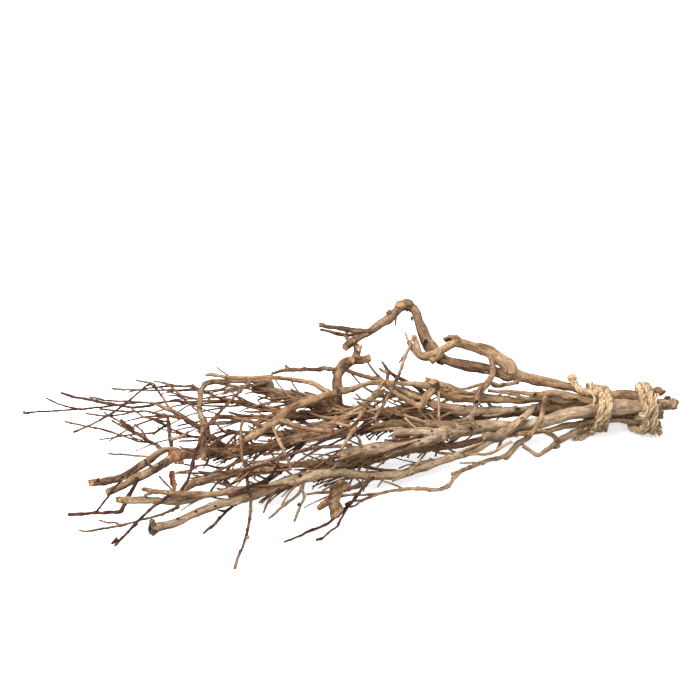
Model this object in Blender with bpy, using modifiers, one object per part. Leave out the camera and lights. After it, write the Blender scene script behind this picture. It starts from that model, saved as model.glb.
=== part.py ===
"""Bundle of dry twigs, tied near its butts with one jute rope and lying on a surface.

Metres, +Z up. +X points along the bundle to its butts, and the origin is the middle
of the footprint, on the surface. Each branch follows a route chosen by hand on a
drawing of the bundle seen from a little above; its depth is worked out so that the
branches lie on each other and on the surface without passing through each other.
"""

import math

import bmesh
import bpy
import numpy as np

# The bundle's real length from the longest twig's tip to the butts, and the same
# length in the squares of the drawing that the routes are written in.
BUNDLE_LENGTH = 0.600
DRAWN_LENGTH = 636.5
SQUARE = BUNDLE_LENGTH / DRAWN_LENGTH

# The eye that drew it looks down by this angle from this far away. Squares count to
# the right and down, and the eye looks at the middle of the drawing.
LOOKING_DOWN = math.radians(30.0)
EYE_DISTANCE = 1651.0
MIDDLE = 350.0
# The drawing's line where its upright sheet meets the surface.
FLOOR_LINE = 428.0
# Where the middle of that line lies on the surface, in metres.
LINE_PLACE = (-0.0036, 0.0756)

# Clearances and the rope, in metres.
GAP = 0.0007
FORK_GAP = 0.0004
ROPE_RADIUS = 0.0030
LEAF_THICKNESS = 0.0009

# Cross-section of the bundle at stations along the drawing, in squares: its middle's
# place toward the back and height, and its half width and half height.
SECTION = np.array([
    (20, -128, 42, 92, 42), (60, -125, 44, 96, 44), (150, -115, 46, 102, 46), (250, -85, 44, 83, 44),
    (300, -69, 42, 79, 42), (400, -58, 36, 64, 36), (450, -36, 31, 50, 31), (500, -24.5, 27, 34, 25),
    (560, -9, 22, 25, 18), (600, 7.7, 20, 17, 13), (652, 4, 22, 20, 15), (680, 4, 22, 20, 15),
], float)
# Between these stations the stems lie on the rope's turns.
TIE = (572.0, 678.0)

TAN_BARK = (0.40, 0.29, 0.18)
BROWN_BARK = (0.30, 0.19, 0.11)
RED_BARK = (0.22, 0.09, 0.05)
DARK_BARK = (0.10, 0.065, 0.05)
DRY_LEAF = (0.42, 0.24, 0.12)
JUTE = (0.62, 0.46, 0.26)

STRANDS = []


def stem(node, layers, route, grows_from=None, bark=TAN_BARK, twigs=(), over=(), under=()):
    """Adds a branch and the twigs that are one piece with it.

    A route runs from root to tip as (across, down, radius) in squares. Layers say how
    near the viewer its root and its tip lie in the bundle, from -1 to 1. It passes in
    front of the branches named in over and behind those in under.
    """
    whole = {"node": node, "bark": bark, "over": over, "under": under}
    STRANDS.append({**whole, "layers": layers, "route": route, "on": grows_from})
    for twig in twigs:
        STRANDS.append({**whole, "layers": (layers[1], layers[1]), "route": twig, "on": node})


stem("upper_limb", (0.1, 0.0), [
    (661, 391, 4.6), (652, 393, 4.6), (642, 395, 5.2), (630, 395, 5.9), (618, 396, 5.4), (606, 397.5, 4.2),
    (596, 397, 4), (586, 393.5, 4.2), (574, 388, 4.3), (560, 384.8, 4.6), (540, 380.3, 5.4),
    (522, 376.6, 5.8), (509, 373, 7.2)], twigs=[
    [(517, 381, 1.8), (505, 385, 2.1), (498, 385.5, 2.2), (490, 382.8, 1.8), (478, 385, 1.8),
     (468, 388, 1.6), (458, 389.5, 1.5)]])
stem("hook_branch", (0.0, 0.0), [
    (508, 374, 5.4), (500, 373, 4.6), (490, 369.5, 4.8), (480, 367.5, 5.6), (470, 366.5, 5.8),
    (460, 364.5, 5.2),
    (450, 362, 4.8), (441, 358.5, 5)], "upper_limb")
stem("upper_fork", (0.0, 0.2), [
    (509, 369, 6.2), (504, 363, 6.3), (497, 357.5, 6), (490, 351.5, 6), (482, 349, 5.8), (470, 346, 4.6),
    (462, 342.8, 5), (455, 342.5, 4.8), (447, 346, 4.2), (440, 349.5, 3.9), (431, 354.5, 4.6),
    (422, 355.5, 4.4), (415, 350.5, 3.8), (410, 344, 3), (408.5, 341, 2.4)], "upper_limb", twigs=[
    [(457, 341, 4.2), (448, 338.5, 3.6)],
    [(419, 353, 3), (417, 344, 2.6), (413.5, 336.5, 2.6)],
    [(410, 342, 1.2), (405.5, 333.5, 0.8)],
    [(440, 353, 3.2), (431.5, 362.5, 2.6)]], over=("hook_branch", "hook_upright"))
stem("hanging_arc", (1.0, 1.0), [
    (488, 351, 3), (490, 355, 3.1), (492.5, 362, 3.2), (493, 370, 3.1), (491, 377, 3.1),
    (487, 383, 3.4), (482, 389, 3.8),
    (477.5, 397, 3.8), (475.5, 405, 2.9), (472.5, 413, 2.7), (471.5, 419, 2.4), (475, 426, 2),
    (481, 431, 1.6)], "upper_fork",
    over=("hook_branch", "upper_limb", "lower_limb", "gnarled_stem", "middle_stem", "back_stem", "long_stem"))
stem("hook_upright", (-0.2, -0.2), [
    (440, 357, 5), (436, 353, 5.8), (430, 345, 6.2), (426, 338, 5.8), (422, 329, 5), (418.5, 320, 4.8),
    (415, 311, 4.8), (410, 306, 5)], "hook_branch")
stem("hook_arm", (-0.2, -0.2), [
    (408, 305, 4.6), (402, 306, 4.8), (396, 311.5, 4.4), (390, 317, 4.6), (380, 323.8, 4.4),
    (371, 330.3, 3.9),
    (360, 336.5, 3.8), (350, 343.5, 3.9), (345, 347, 3.7)], "hook_upright", twigs=[
    [(372, 330, 1.5), (360, 329.6, 1.3), (351, 328.5, 1.3), (334, 326.4, 1.2), (321, 324.4, 0.9)],
    [(366, 334, 1.4), (355, 334, 1.3), (349, 334.6, 1.2), (335, 332, 1.1), (320, 329.5, 0.8)],
    [(397, 312, 1.4), (395.5, 325, 0.9)]])
stem("lower_limb", (0.2, 0.3), [
    (650, 402, 3), (625, 402, 3), (606, 402.5, 3.4), (596, 402, 3.6), (588, 401, 3.8), (575, 396.5, 4),
    (560, 394, 4.2), (548, 394.5, 3.8), (540, 394.8, 3.2), (534.5, 394.5, 3), (525, 393.2, 2.3),
    (510, 391.7, 2), (500, 391, 2), (488, 390.5, 1.8)])
stem("gnarled_stem", (-0.4, 0.2), [
    (663, 415, 4.4), (650, 413, 4.2), (630, 409.5, 4), (606, 405.5, 3.8), (585, 403, 3.8), (565, 401, 3.4),
    (545, 399.5, 2.6), (525, 400, 2.8), (515, 399.7, 3.3), (505, 398.7, 4.2), (492, 398.6, 4.5),
    (480, 398.3, 4.8), (467, 397.3, 5.8), (455, 395.5, 7.6), (444, 390.5, 8), (436, 387, 6.5),
    (430, 386, 4.6)], twigs=[
    [(433, 388, 4), (426, 397, 3.6), (421.6, 406, 3.2), (419.5, 409, 2.4)],
    [(433, 384, 1.8), (426, 378, 1.6)],
    [(439, 394, 1.5), (438.8, 405, 1.3), (439, 418, 1.3), (439.6, 432, 1.1)]])
stem("diagonal_stem", (0.2, 0.6), [
    (431, 386, 3.2), (425, 385.8, 3.3), (412, 384, 2.9), (396, 383.4, 2.3), (382, 382.5, 2.5),
    (370, 382.6, 2.5),
    (360, 385.8, 2.7), (350, 390, 3.4), (340, 391.3, 3.6), (328, 394.5, 3.4), (318, 398, 3.6),
    (308, 401.8, 4), (298, 405.3, 4), (290, 409, 4), (281, 416.5, 4), (271, 424.5, 4.3), (260, 431, 4),
    (250, 437, 3.4), (243, 441, 2.8)], "gnarled_stem")
stem("top_twig", (0.0, -0.3), [
    (328, 394, 2.6), (325, 391.5, 2.7), (320, 387.5, 2.9), (315, 384, 2.6), (308, 381.3, 2.4),
    (295, 379.8, 2.3),
    (280, 378.3, 2.3), (266, 377.3, 2.3), (250, 377.8, 2.2), (235, 377.3, 1.9), (220, 376.3, 1.9),
    (209, 374.5, 1.8), (205.5, 375.5, 1.2)], "diagonal_stem",
    under=("arched_twig",))
stem("middle_stem", (-0.5, 0.0), [
    (648, 407, 3.4), (625, 407, 3.4), (606, 408, 3.6), (585, 407.5, 4), (570, 406.5, 4.6), (558, 406, 6),
    (549, 406, 6.4), (541, 407, 4.8), (533, 408.3, 3.4), (517, 408.7, 3), (505, 409.3, 3.3),
    (490, 410.2, 3.7), (480, 411, 4.3), (470, 411.3, 5), (460, 411.2, 5.4), (450, 409.8, 5.4),
    (440, 407, 4.8), (432, 403.5, 4.2), (429.5, 402, 3.8)], over=("back_stem", "far_stem"))
stem("low_stem", (0.6, 1.0), [
    (534, 409, 3), (529, 412.5, 3.2), (524, 417, 3.6), (518, 422, 4), (508, 430, 4.6), (498, 436.5, 4.8),
    (490, 440.5, 4), (481, 446, 3.6), (470, 451.5, 3.6), (460, 455.5, 3.4), (450, 458.5, 3.7),
    (440, 461.8, 4), (430, 465.3, 4.1), (420, 468.8, 4.2), (410, 472, 4.4), (398, 474.3, 4.5),
    (385, 475, 4.5), (371, 476, 4.2), (357, 474, 4.2), (343, 472.3, 4.5), (330, 473, 4.6),
    (318, 475, 5), (305, 478, 5), (294, 481, 5), (282, 484.5, 5), (270, 488.3, 5), (258, 492.3, 4.8),
    (246, 497.5, 4.8), (234, 501.5, 4.4), (220, 504.3, 4.2), (200, 511.5, 4), (180, 519.5, 4.2),
    (165, 525.3, 4.2), (156, 528, 5), (150.5, 528.3, 7)], "middle_stem", twigs=[
    [(497, 437, 3.8), (484, 436.5, 3.8)],
    [(303, 480, 1.8), (301, 490, 1.6), (293, 498.5, 1.4), (287, 502.5, 1.6), (282, 507, 1.4),
    (276, 513, 1.3),
     (269, 518.4, 1.2)],
    [(301, 488, 1.5), (304, 497, 1.4), (300, 507, 1.3), (296, 517, 1.5), (294, 521.6, 1.2)]],
    over=("back_stem", "far_stem", "long_stem", "outer_stem", "pink_twig"))
stem("trailing_twig", (1.0, 1.0), [
    (374, 475, 1.5), (372, 479, 1.5), (366, 484, 1.6), (361, 490, 1.5), (356, 497, 1.6),
    (351, 503.5, 1.7), (346, 508, 1.6),
    (340, 513.5, 1.5), (333, 519, 1.4), (326, 524.5, 1.4), (318, 528, 1.3), (309, 531, 1.5),
    (300, 535.5, 1.2), (292, 539, 1.1), (284, 542, 0.9)], "low_stem", RED_BARK, [
    [(349, 506, 1.2), (345, 512, 1.1), (341, 519, 1.1), (337, 526, 1.2), (330, 531, 1.1), (323, 537.5, 1.2),
     (316, 539.8, 1.5)]], ("long_low_twig",))
stem("low_fork", (0.7, 0.6), [
    (264, 490, 2.6), (256, 488.8, 2.6), (245, 488.3, 2.8), (235, 489.3, 3), (226, 491.8, 3.2),
    (216, 494.3, 2.8),
    (205, 495, 2.8), (193, 495, 3.4), (180, 494, 3.2), (168, 492.5, 2.8), (156, 490.7, 2.6),
    (148, 489.5, 2.4), (142, 489, 1.4)], "low_stem", twigs=[
    [(154, 491, 1.8), (144, 496, 1.4)]])
stem("low_fork_lower", (0.4, 0.4), [
    (204, 495.5, 2.6), (192, 499, 3), (180, 501, 3.3), (165, 501.3, 3.4), (150, 500.8, 3.6),
    (137, 500.3, 3.6),
    (125, 500, 3.5), (116, 499.6, 3.1)], "low_fork")
stem("forked_twig", (0.9, 0.9), [
    (547, 402, 2.2), (545.5, 399, 2.2), (544, 406, 2.3), (542, 413, 2.3), (540.5, 420, 2.2),
    (537, 427, 2.2),
    (532, 433, 2.4), (525, 439, 2.5), (517.5, 444, 3), (513, 449, 2.8), (509, 454, 2.8),
    (505.5, 459, 2.1)], "middle_stem")
stem("long_low_twig", (0.9, 1.0), [
    (509.5, 453, 1.9), (505, 456, 2.1), (498, 458, 2), (488, 460.3, 1.9), (478, 464, 1.9),
    (468, 468, 2), (460, 471.8, 2.1),
    (456, 475.5, 1.9), (451.5, 481.5, 1.8), (447, 487, 2.2), (441, 489, 1.9), (427, 489, 1.9),
    (411, 488.8, 1.8), (400, 489.8, 1.7), (390, 491.3, 1.5), (378, 493.5, 1.4), (362, 495, 1.2),
    (343, 494.5, 1.2), (328, 492.5, 1.2), (316, 493.3, 1.3), (307, 494.2, 1.1)], "forked_twig", twigs=[
    [(459, 472.5, 1.8), (451, 474, 1.8)],
    [(384, 493, 1.2), (371, 497, 1.2), (360, 502, 1.1), (356, 505, 1.2), (350, 507.2, 0.9)],
    [(405, 488.9, 1.1), (393, 484.3, 1), (381, 480, 0.7)]])
stem("looped_twig", (0.5, 0.9), [
    (645, 417, 2.4), (625, 416.5, 2.4), (606, 417, 2.6), (592, 421.5, 2.6), (580, 429, 2.8),
    (568, 435.5, 3), (558, 441.5, 3), (551, 447, 2.5), (544, 451.7, 2.2), (537, 455, 2.3),
    (530, 450.5, 1.9), (523, 446, 1.8)], twigs=[
    [(557, 443, 2.4), (556, 438.5, 2.2), (551, 434.3, 2.2), (544, 431.5, 2), (536, 431.3, 2),
     (530, 432.8, 1.9)]])
stem("under_stem", (0.9, 0.9), [
    (653, 425, 3), (630, 421, 2.6), (606, 420.5, 2.6), (590, 422, 2.6), (578, 424, 3.2), (566, 425.7, 3.3),
    (555, 428.3, 2.7), (543, 431, 2.4), (530, 433, 2.3), (518, 434, 2.2)])
stem("long_stem", (0.6, 0.6), [
    (676, 404.3, 6), (668, 404, 6.6), (655, 404.3, 6.2), (640, 405.7, 6), (625, 407.5, 6.5),
    (610, 409.2, 6.6), (595, 410.8, 6.4), (580, 413, 6), (560, 417.3, 6.2), (540, 421.8, 5.9),
    (520, 425, 5.5), (500, 426, 5.4), (485, 427, 6), (470, 428.5, 7), (456, 430, 8), (446, 433, 7.6),
    (438, 437, 6), (428, 440.3, 4.9), (416, 443, 5), (404, 445.2, 5.2), (390, 447, 5.7),
    (375, 448.7, 6), (360, 450.8, 6), (348, 453.5, 5.8), (340, 455.6, 5.5)], twigs=[
    [(442, 435, 4.8), (428, 432.3, 4.6), (416, 432, 4.4), (404, 432, 4.3), (394, 432.4, 4.1)]])
stem("outer_stem", (0.2, 0.0), [
    (452, 428, 4.2), (440, 424.8, 4.2), (425, 423.8, 4.2), (410, 423.8, 4.3), (395, 425, 4.1),
    (380, 426.6, 3.6),
    (366, 429, 3), (355, 431, 3), (345, 432.5, 3.4), (330, 434.5, 4), (315, 436, 4.4), (302, 438.3, 4.6),
    (290, 441, 4.6), (278, 444.3, 4.5), (266, 447, 4.2), (252, 449.5, 4.2), (238, 451.5, 4.5),
    (224, 453, 4.8), (210, 453.7, 5), (196, 453.5, 4.7), (184, 454, 4.7), (172, 459, 4.4),
    (160, 465.5, 4.5), (148, 472, 4.3), (136, 478, 4.2), (124, 484, 4.1), (114, 489, 4),
    (106.5, 492.6, 3.8)], "long_stem")
stem("outer_fork", (-0.3, -0.3), [
    (184, 453, 3.4), (174, 450, 3), (165, 450.5, 3.2), (157, 455, 3.4), (149, 461, 3.6), (140, 467.3, 3.8),
    (130, 472.7, 3.9), (118, 477.5, 3.9), (104, 481.3, 3.9), (89, 483, 3.4)], "outer_stem", twigs=[
    [(156, 457, 1.1), (150, 456.6, 1.1), (135, 455.6, 0.9), (120, 454.3, 0.9), (108.6, 453.7, 0.9)]])
stem("bent_twig", (0.2, 0.2), [
    (137, 480, 2), (133.5, 488, 2), (129, 496, 2.1), (124.5, 504, 2), (119.5, 511, 2.1), (112, 512, 1.8),
    (94, 513.2, 1.7), (80, 514.2, 1.7), (68, 514.6, 2)], "outer_stem", RED_BARK)
stem("red_riser", (0.9, 0.9), [
    (95.5, 512, 1.3), (101, 506, 1.1), (108, 496.5, 1.1), (117, 485.3, 1.1), (125, 477.5, 1),
    (132, 470.5, 0.9), (137, 467, 0.8)], "bent_twig", RED_BARK)
stem("far_stem", (-0.8, 0.3), [
    (640, 411, 3.2), (625, 411, 3.2), (606, 412, 3.4), (585, 414.5, 3.4), (560, 419, 3.4),
    (530, 427.5, 3.4),
    (505, 434.5, 3.2), (480, 440, 3.2), (460, 444, 3.2), (440, 447, 3.4), (420, 449.5, 3.6),
    (400, 452.5, 3.9), (384, 456, 4.3), (368, 460, 4.8), (356, 462.8, 4.2), (340, 465, 3.6),
    (320, 465, 3.4), (300, 464.5, 3.2), (285, 466.5, 3.2), (271, 469.5, 3.5), (258, 471, 3.8),
    (245, 472.3, 4), (231, 474.3, 4.2), (215, 477, 4.4), (202, 480, 4.6), (192, 483, 4.4),
    (184.5, 488, 3.8), (180, 495, 3.1), (178, 502, 2.6), (177.5, 508, 2.1)], twigs=[
    [(177, 507, 1.5), (163, 513.8, 1.3), (152, 517.2, 1.3), (139, 520.5, 1.2), (130, 523, 1.2),
     (121, 525.5, 1.5), (110, 527.3, 1.2), (98, 529.5, 1.3), (84, 531.3, 1), (79.5, 530.2, 0.9)],
    [(120, 525.5, 1.1), (116, 523, 1), (108, 522.8, 1), (99.7, 520, 0.9)]])
stem("front_twig", (1.0, 1.0), [
    (177, 493, 1.5), (173, 494.5, 1.4), (166, 498, 1.5), (160, 502.3, 1.6), (153, 506.8, 1.6),
    (146, 513, 1.4),
    (139, 520.3, 1.4), (133, 526.7, 1.4), (126, 534, 1.3), (120, 540, 1.6), (115, 545.7, 1.3)],
    "low_fork", RED_BARK)
stem("red_front_twig", (1.0, 1.0), [
    (288, 466.5, 1.6), (284, 468.5, 1.6), (276, 475.5, 1.6), (268, 481.3, 1.6), (258, 488, 1.6),
    (249, 494.8, 1.5),
    (241, 500.6, 1.4), (232, 506.8, 1.3), (225, 512.5, 1.3), (218, 520.3, 1.3), (213, 526, 1.6),
    (207, 530, 1.2), (203.5, 533.3, 1.1)], "far_stem", RED_BARK)
stem("back_stem", (-0.5, -0.1), [
    (646, 410, 3), (625, 413, 3.2), (606, 414, 3.4), (585, 415.5, 3.4), (560, 415, 3.2), (540, 413.5, 3),
    (523, 413.5, 2.8), (505, 415.3, 2.8), (490, 417, 2.7), (475, 419, 2.5), (462, 420, 2.6),
    (450, 418.5, 3.5), (440, 415.5, 4.5), (425, 413.5, 5.4), (410, 412.5, 5.5), (395, 412, 5.6),
    (382, 412.3, 5.2), (370, 413, 4.8), (357, 413, 4.6), (346, 412.6, 4.6)])
# Out of sight behind the back stem, this one lies on the surface and holds the bundle's back up.
stem("back_runner", (-1.2, -2.2), [
    (478, 419, 2.2), (462, 419.5, 2.2), (450, 417.5, 2.2), (440, 415.5, 2.2), (425, 413.5, 2.2),
    (410, 412.5, 2.1), (395, 412, 2.1), (382, 412.3, 2), (370, 413, 2), (357, 413, 1.9),
    (350, 412.6, 1.8)], "back_stem")
stem("gnarled_upright", (0.3, 0.3), [
    (343, 411, 4.6), (338, 406, 4.8), (336.5, 400, 5), (337.3, 390, 5.2), (338, 380, 5), (339.5, 372, 5.6),
    (344, 365.5, 6.2), (351, 361, 5), (356, 359.5, 4.4)], "back_stem", twigs=[
    [(355, 359, 3.8), (357, 350, 3.4), (356, 345.5, 3.2)],
    [(355, 360, 3.8), (363, 360, 3.3), (369, 357.6, 3.3)]])
stem("short_log", (-0.1, -0.1), [
    (334, 410.5, 4.4), (329, 409.5, 4.6), (318, 404.5, 5.4), (305, 400, 6), (292, 397, 6.4),
    (281, 394.2, 6.2),
    (271, 391.5, 5.5), (262, 389, 4.9), (252.5, 387.6, 4.1)], "back_stem")
stem("side_twig", (0.0, -0.2), [
    (338, 370, 2.2), (331, 368.6, 2), (325, 368.2, 2.2), (315, 369.6, 1.9), (303, 370, 1.9), (290, 370, 2),
    (280, 371, 1.8), (272, 373.6, 1.4)], "gnarled_upright", BROWN_BARK, [
    [(290, 369.5, 1.6), (285, 365.2, 1.4)]])
stem("arched_twig", (0.1, 0.7), [
    (271, 387, 2.8), (270, 383, 3), (260, 381.5, 2.4), (250, 380.6, 2.2), (238, 381, 2.3),
    (225, 381.2, 2.8),
    (212, 381.8, 2.8), (204.5, 384.5, 2.8), (201, 391, 2.7), (200, 400, 2.8), (200.3, 412, 2.8),
    (202, 422, 2.8), (203.3, 432, 3), (203.5, 442, 3), (203.5, 449, 2.9),
    (203.7, 459, 2.6)], "short_log", twigs=[
    [(266, 383.2, 2), (255, 385, 2), (245, 386.3, 2), (235, 388.2, 2), (227, 391.5, 2), (223, 394, 1.5)],
    [(240, 387, 1.4), (230, 386.3, 1.3), (221, 389.3, 1.3), (210, 390.6, 1.1), (204, 391.5, 0.9)]])
stem("cross_twig", (0.9, 1.0), [
    (250, 381, 1.5), (247, 385, 1.5), (240, 391.3, 1.5), (232, 399, 1.5), (225, 406.5, 1.5),
    (218, 413.8, 1.5),
    (210, 423, 1.7), (204, 431.5, 1.7), (200.5, 440, 1.6), (197.5, 448, 1.5), (195, 456, 1.6),
    (192, 465, 1.7), (190, 473, 1.4), (187.5, 480, 1.4), (183.5, 487, 1.5), (181, 495, 1.4),
    (178.5, 504, 1.1)], "arched_twig", RED_BARK)
stem("drooping_twig", (0.8, 1.0), [
    (262, 430, 2), (261, 427.5, 2), (255, 423.3, 2), (245, 420, 2), (235, 418.3, 2), (223, 416.5, 1.9),
    (216, 418.5, 1.6), (211, 423, 1.3)], "diagonal_stem", BROWN_BARK, [
    [(243, 419.5, 1.8), (242, 424, 1.5), (240.7, 432, 1.4), (240.6, 441, 1.4), (241.5, 451, 1.4),
    (243.3, 462, 1.4),
     (245.5, 472, 1.5), (247, 480, 1.6), (249, 490, 1.7), (251, 498, 1.7), (250.6, 506, 1.5),
     (249.6, 515, 1.5), (248.5, 525, 1.5), (246.5, 535, 1.6), (243.5, 544, 1.4), (240, 553, 1.4),
     (237, 561, 1.5), (234.5, 568.7, 1.6)],
    [(237, 418.6, 1.5), (229, 422.5, 1.6), (222, 424, 1.4), (214, 424, 1.1)]])
stem("back_log", (-0.2, -0.2), [
    (385, 390, 2.4), (378, 395, 2.5), (372, 400, 2.6), (364, 405, 3.2), (355, 410.5, 3.8), (345, 417, 4),
    (335, 423.3, 4), (322, 427, 3.7), (310, 429.8, 3.7), (298, 431.7, 4), (283, 435, 4.4)],
    over=("back_stem", "gnarled_upright", "short_log", "burnt_stem"))
stem("burnt_stem", (-0.4, -0.4), [
    (346, 413, 2.8), (338, 415, 3), (325, 414.5, 2.8), (310, 415, 2.6), (290, 416.3, 2.6), (274, 418, 2.8),
    (262, 418, 2.9), (255, 416.8, 2.1), (251, 414, 1)], "back_stem", BROWN_BARK)
stem("straight_twig", (-0.7, -0.7), [
    (341, 433, 1.4), (335, 430.6, 1.2), (325, 429, 1.2), (312, 424.8, 1.3), (300, 420.8, 1.4),
    (290, 417.3, 1.6),
    (281, 413, 1.9), (270, 410, 2.2), (256, 406.3, 2.3), (243, 403.3, 2.3), (230, 401.3, 1.8),
    (215, 401, 1.5), (202, 401.5, 1.4), (187, 401.8, 1.3), (173, 401.3, 1.2), (157, 402.8, 1.1),
    (137, 402, 1), (125, 401.4, 1), (113, 400.8, 1), (101, 399.5, 0.9), (90, 397, 0.9)],
    "outer_stem", BROWN_BARK, [
    [(243, 402.5, 1.6), (230, 400, 1.5), (215, 396, 1.4), (207, 392.5, 1.6), (198, 390, 1.8),
    (186, 389.9, 1.2),
     (175, 390, 1), (157, 390.3, 1), (130, 389.7, 1), (112, 388.5, 0.9)],
    [(199, 389.8, 1.6), (192, 386.5, 1.6), (184, 386.3, 1.1), (174, 385.2, 1.1), (163, 383, 1),
     (154.5, 381.2, 1)]])
stem("tip_twig", (-0.7, -0.7), [
    (140, 402, 1), (124, 404.3, 1), (110, 406, 1), (98, 407.5, 1), (79, 409.2, 1.1), (66, 410, 1),
    (51, 411.2, 0.9), (33, 412, 0.9), (23.5, 413, 1.4)], "straight_twig", RED_BARK)
stem("forked_tip_twig", (-0.6, -0.6), [
    (163, 402.6, 1.2), (150, 405.7, 1.3), (140, 407, 1.3), (130, 406.9, 1.3), (120, 405.5, 1.3),
    (108, 403.4, 1.5),
    (91, 400, 1.5), (75, 397, 1.3), (61, 392.8, 1.3)], "straight_twig", DARK_BARK)
stem("spray_stem", (-0.2, 0.0), [
    (246, 450, 2.2), (233, 448, 2.3), (222, 444.5, 2.4), (213, 438.5, 2.4), (205, 432.3, 2.5),
    (196, 426, 2.7),
    (188, 420.8, 2.8), (180, 415.5, 2.6), (171, 410.3, 2.2), (161, 405.5, 1.8), (151, 402.3, 1.1)],
    "outer_stem", BROWN_BARK, [
    [(175, 412, 1.4), (170, 408.5, 1.4), (165, 401.5, 1.3), (160.5, 394, 1.2)],
    [(161, 396.5, 1), (157.5, 390, 1), (153.5, 384, 1), (146, 382.3, 1), (136, 380, 0.8)],
    [(183, 417.5, 1.5), (172, 416.6, 1.6), (166, 415.5, 1.4), (157, 413.6, 1.2), (146, 411.4, 1),
    (135, 411.2, 1),
     (122, 411.3, 0.9), (112, 410.5, 0.9), (100, 409, 0.8)],
    [(134, 411.5, 0.9), (127, 413.5, 0.8), (118, 415.2, 0.8), (108, 415.8, 0.8), (99, 415.3, 0.8),
     (86, 413.6, 0.8)]])
stem("spray_riser", (-0.3, -0.5), [
    (210, 436, 1.5), (208, 428, 1.3), (206, 420, 1.2), (200, 413, 1.1), (194, 408, 1.1), (187, 401, 1.1),
    (180, 394.5, 1.2), (172, 388, 1.2), (163.5, 382.2, 1)], "spray_stem", BROWN_BARK)
stem("spray_runner", (0.1, 0.0), [
    (157, 389.5, 0.9), (150, 384.5, 0.9), (142, 389.5, 1), (130, 400, 1.1), (120, 407.5, 1.1),
    (109, 415, 1.2), (98, 421.3, 1.1),
    (88, 426, 1.1), (73.4, 432.3, 1.3)], "spray_stem", RED_BARK)
stem("side_spray", (0.2, 0.2), [
    (170, 460, 2), (170, 455, 2), (171, 446, 1.9), (169.8, 436, 1.9), (169.3, 426, 2), (167.5, 417.5, 1.5)],
    "outer_stem", RED_BARK, [
    [(168, 421.5, 1), (161, 420.8, 1), (154, 419, 1), (145, 417.5, 1), (138, 413, 0.9), (131, 408, 0.8)],
    [(168, 424, 1.2), (161, 428, 1.2), (153, 434.6, 1.3)],
    [(170, 428.5, 1), (180, 432.3, 1), (190, 436, 1), (197, 437.8, 0.9)]])
stem("left_spray", (-0.4, -0.4), [
    (162, 452, 2), (156, 444.5, 1.9), (148, 440.5, 1.9), (140, 435.7, 1.8), (130, 430.5, 1.6),
    (120, 425, 1.2),
    (112, 420.6, 1)], "outer_fork", BROWN_BARK, [
    [(138, 434, 1), (130, 428.5, 1), (120, 422, 1), (110, 416, 1), (104, 412.3, 1)],
    [(151, 442, 1.2), (140, 441.5, 1.1), (130, 438.4, 1), (120, 434.7, 1), (108, 431, 1.2), (95, 428, 0.9),
     (83, 425.5, 1), (75, 424, 0.9), (65, 421.5, 1)],
    [(147, 440, 1.1), (143, 432.5, 1.1), (139, 428, 1), (134.5, 424.2, 0.7)]])
stem("pale_twig", (1.0, 1.0), [
    (384, 382.5, 1.9), (382, 385, 1.9), (376, 391.5, 1.9), (371, 398, 2), (366, 406, 2), (362, 413, 2),
    (358, 420.5, 2), (354, 428.5, 2), (349.5, 436, 1.9), (345, 443, 1.8), (341, 449.5, 1.5)],
    "diagonal_stem")
stem("tall_twig", (0.8, 0.8), [
    (374, 420, 1.7), (377, 414.5, 1.8), (380.5, 409, 1.8), (384, 403, 1.7), (388, 396.5, 1.7),
    (391.5, 390, 1.8), (394, 385.5, 1.9), (396.5, 379.5, 1.9), (399.5, 373, 1.4), (402.3, 366, 1.7),
    (404, 359.5, 1.6), (406.3, 353, 1.7), (409.5, 347.5, 1.2), (411, 342, 1), (413, 337, 0.8)],
    None, RED_BARK, [
    [(406, 354, 1.2), (403, 357.5, 1), (399.5, 362.3, 0.9)]],
    ("upper_fork", "dark_twig", "diagonal_stem", "back_stem", "crossing_stem", "inner_stem"))
stem("dark_twig", (0.0, 0.0), [
    (427, 394, 2), (422, 391.5, 2), (416, 386.3, 1.9), (409, 382, 1.6), (400, 378.8, 1.9),
    (392, 374.5, 1.9),
    (387.5, 370, 1.9), (384.5, 365, 1.3), (382, 361.8, 1)], "gnarled_stem", DARK_BARK, [
    [(388, 371.5, 1.6), (387.5, 378, 1.6), (387.5, 384, 1.4)]], under=("diagonal_stem",))
stem("crossing_stem", (0.3, 0.3), [
    (422, 405.5, 2.4), (417, 404.5, 2.4), (411, 401.7, 2.6), (402, 398, 2.6), (396, 394, 2.5),
    (391, 388.5, 2.1),
    (388.5, 384, 1.6)], "gnarled_stem", under=("diagonal_stem",), over=("inner_stem",))
stem("inner_stem", (-0.3, -0.3), [
    (425, 399, 2.2), (419, 398, 2.4), (410, 395, 3), (401, 391.5, 3), (395, 387.5, 2.4)], "gnarled_stem",
    under=("diagonal_stem",))
stem("bridge_twig", (0.0, 0.0), [
    (344, 369, 2), (353, 372.8, 2), (360, 375, 2.1), (370, 377.6, 2.1), (382, 380.3, 1.8)],
    "gnarled_upright", BROWN_BARK)
stem("red_twig", (0.8, 0.8), [
    (364, 416, 1.2), (357, 421.5, 1.2), (350, 426.5, 1.3), (341, 431.5, 1.3), (332, 436.3, 1.3),
    (322, 441, 1.3), (313, 445, 1.1)], None, RED_BARK)
stem("pink_twig", (0.7, 0.7), [
    (352, 444.5, 1.5), (340, 446, 1.6), (326, 446.8, 1.6), (312, 448.3, 1.7), (300, 451, 1.8),
    (289, 454.5, 1.9), (278, 458, 1.7), (268, 461.5, 1.5), (254, 466, 1.5),
    (241, 470, 1.2)], None, BROWN_BARK)
stem("small_pale_twig", (0.9, 0.9), [
    (272, 426, 1.5), (274, 430, 1.5), (276.5, 436, 1.6), (280, 443, 1.6), (283.5, 450, 1.7),
    (286, 456, 1.6),
    (289, 463, 1.5), (291, 470, 1.4)], "diagonal_stem")
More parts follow.
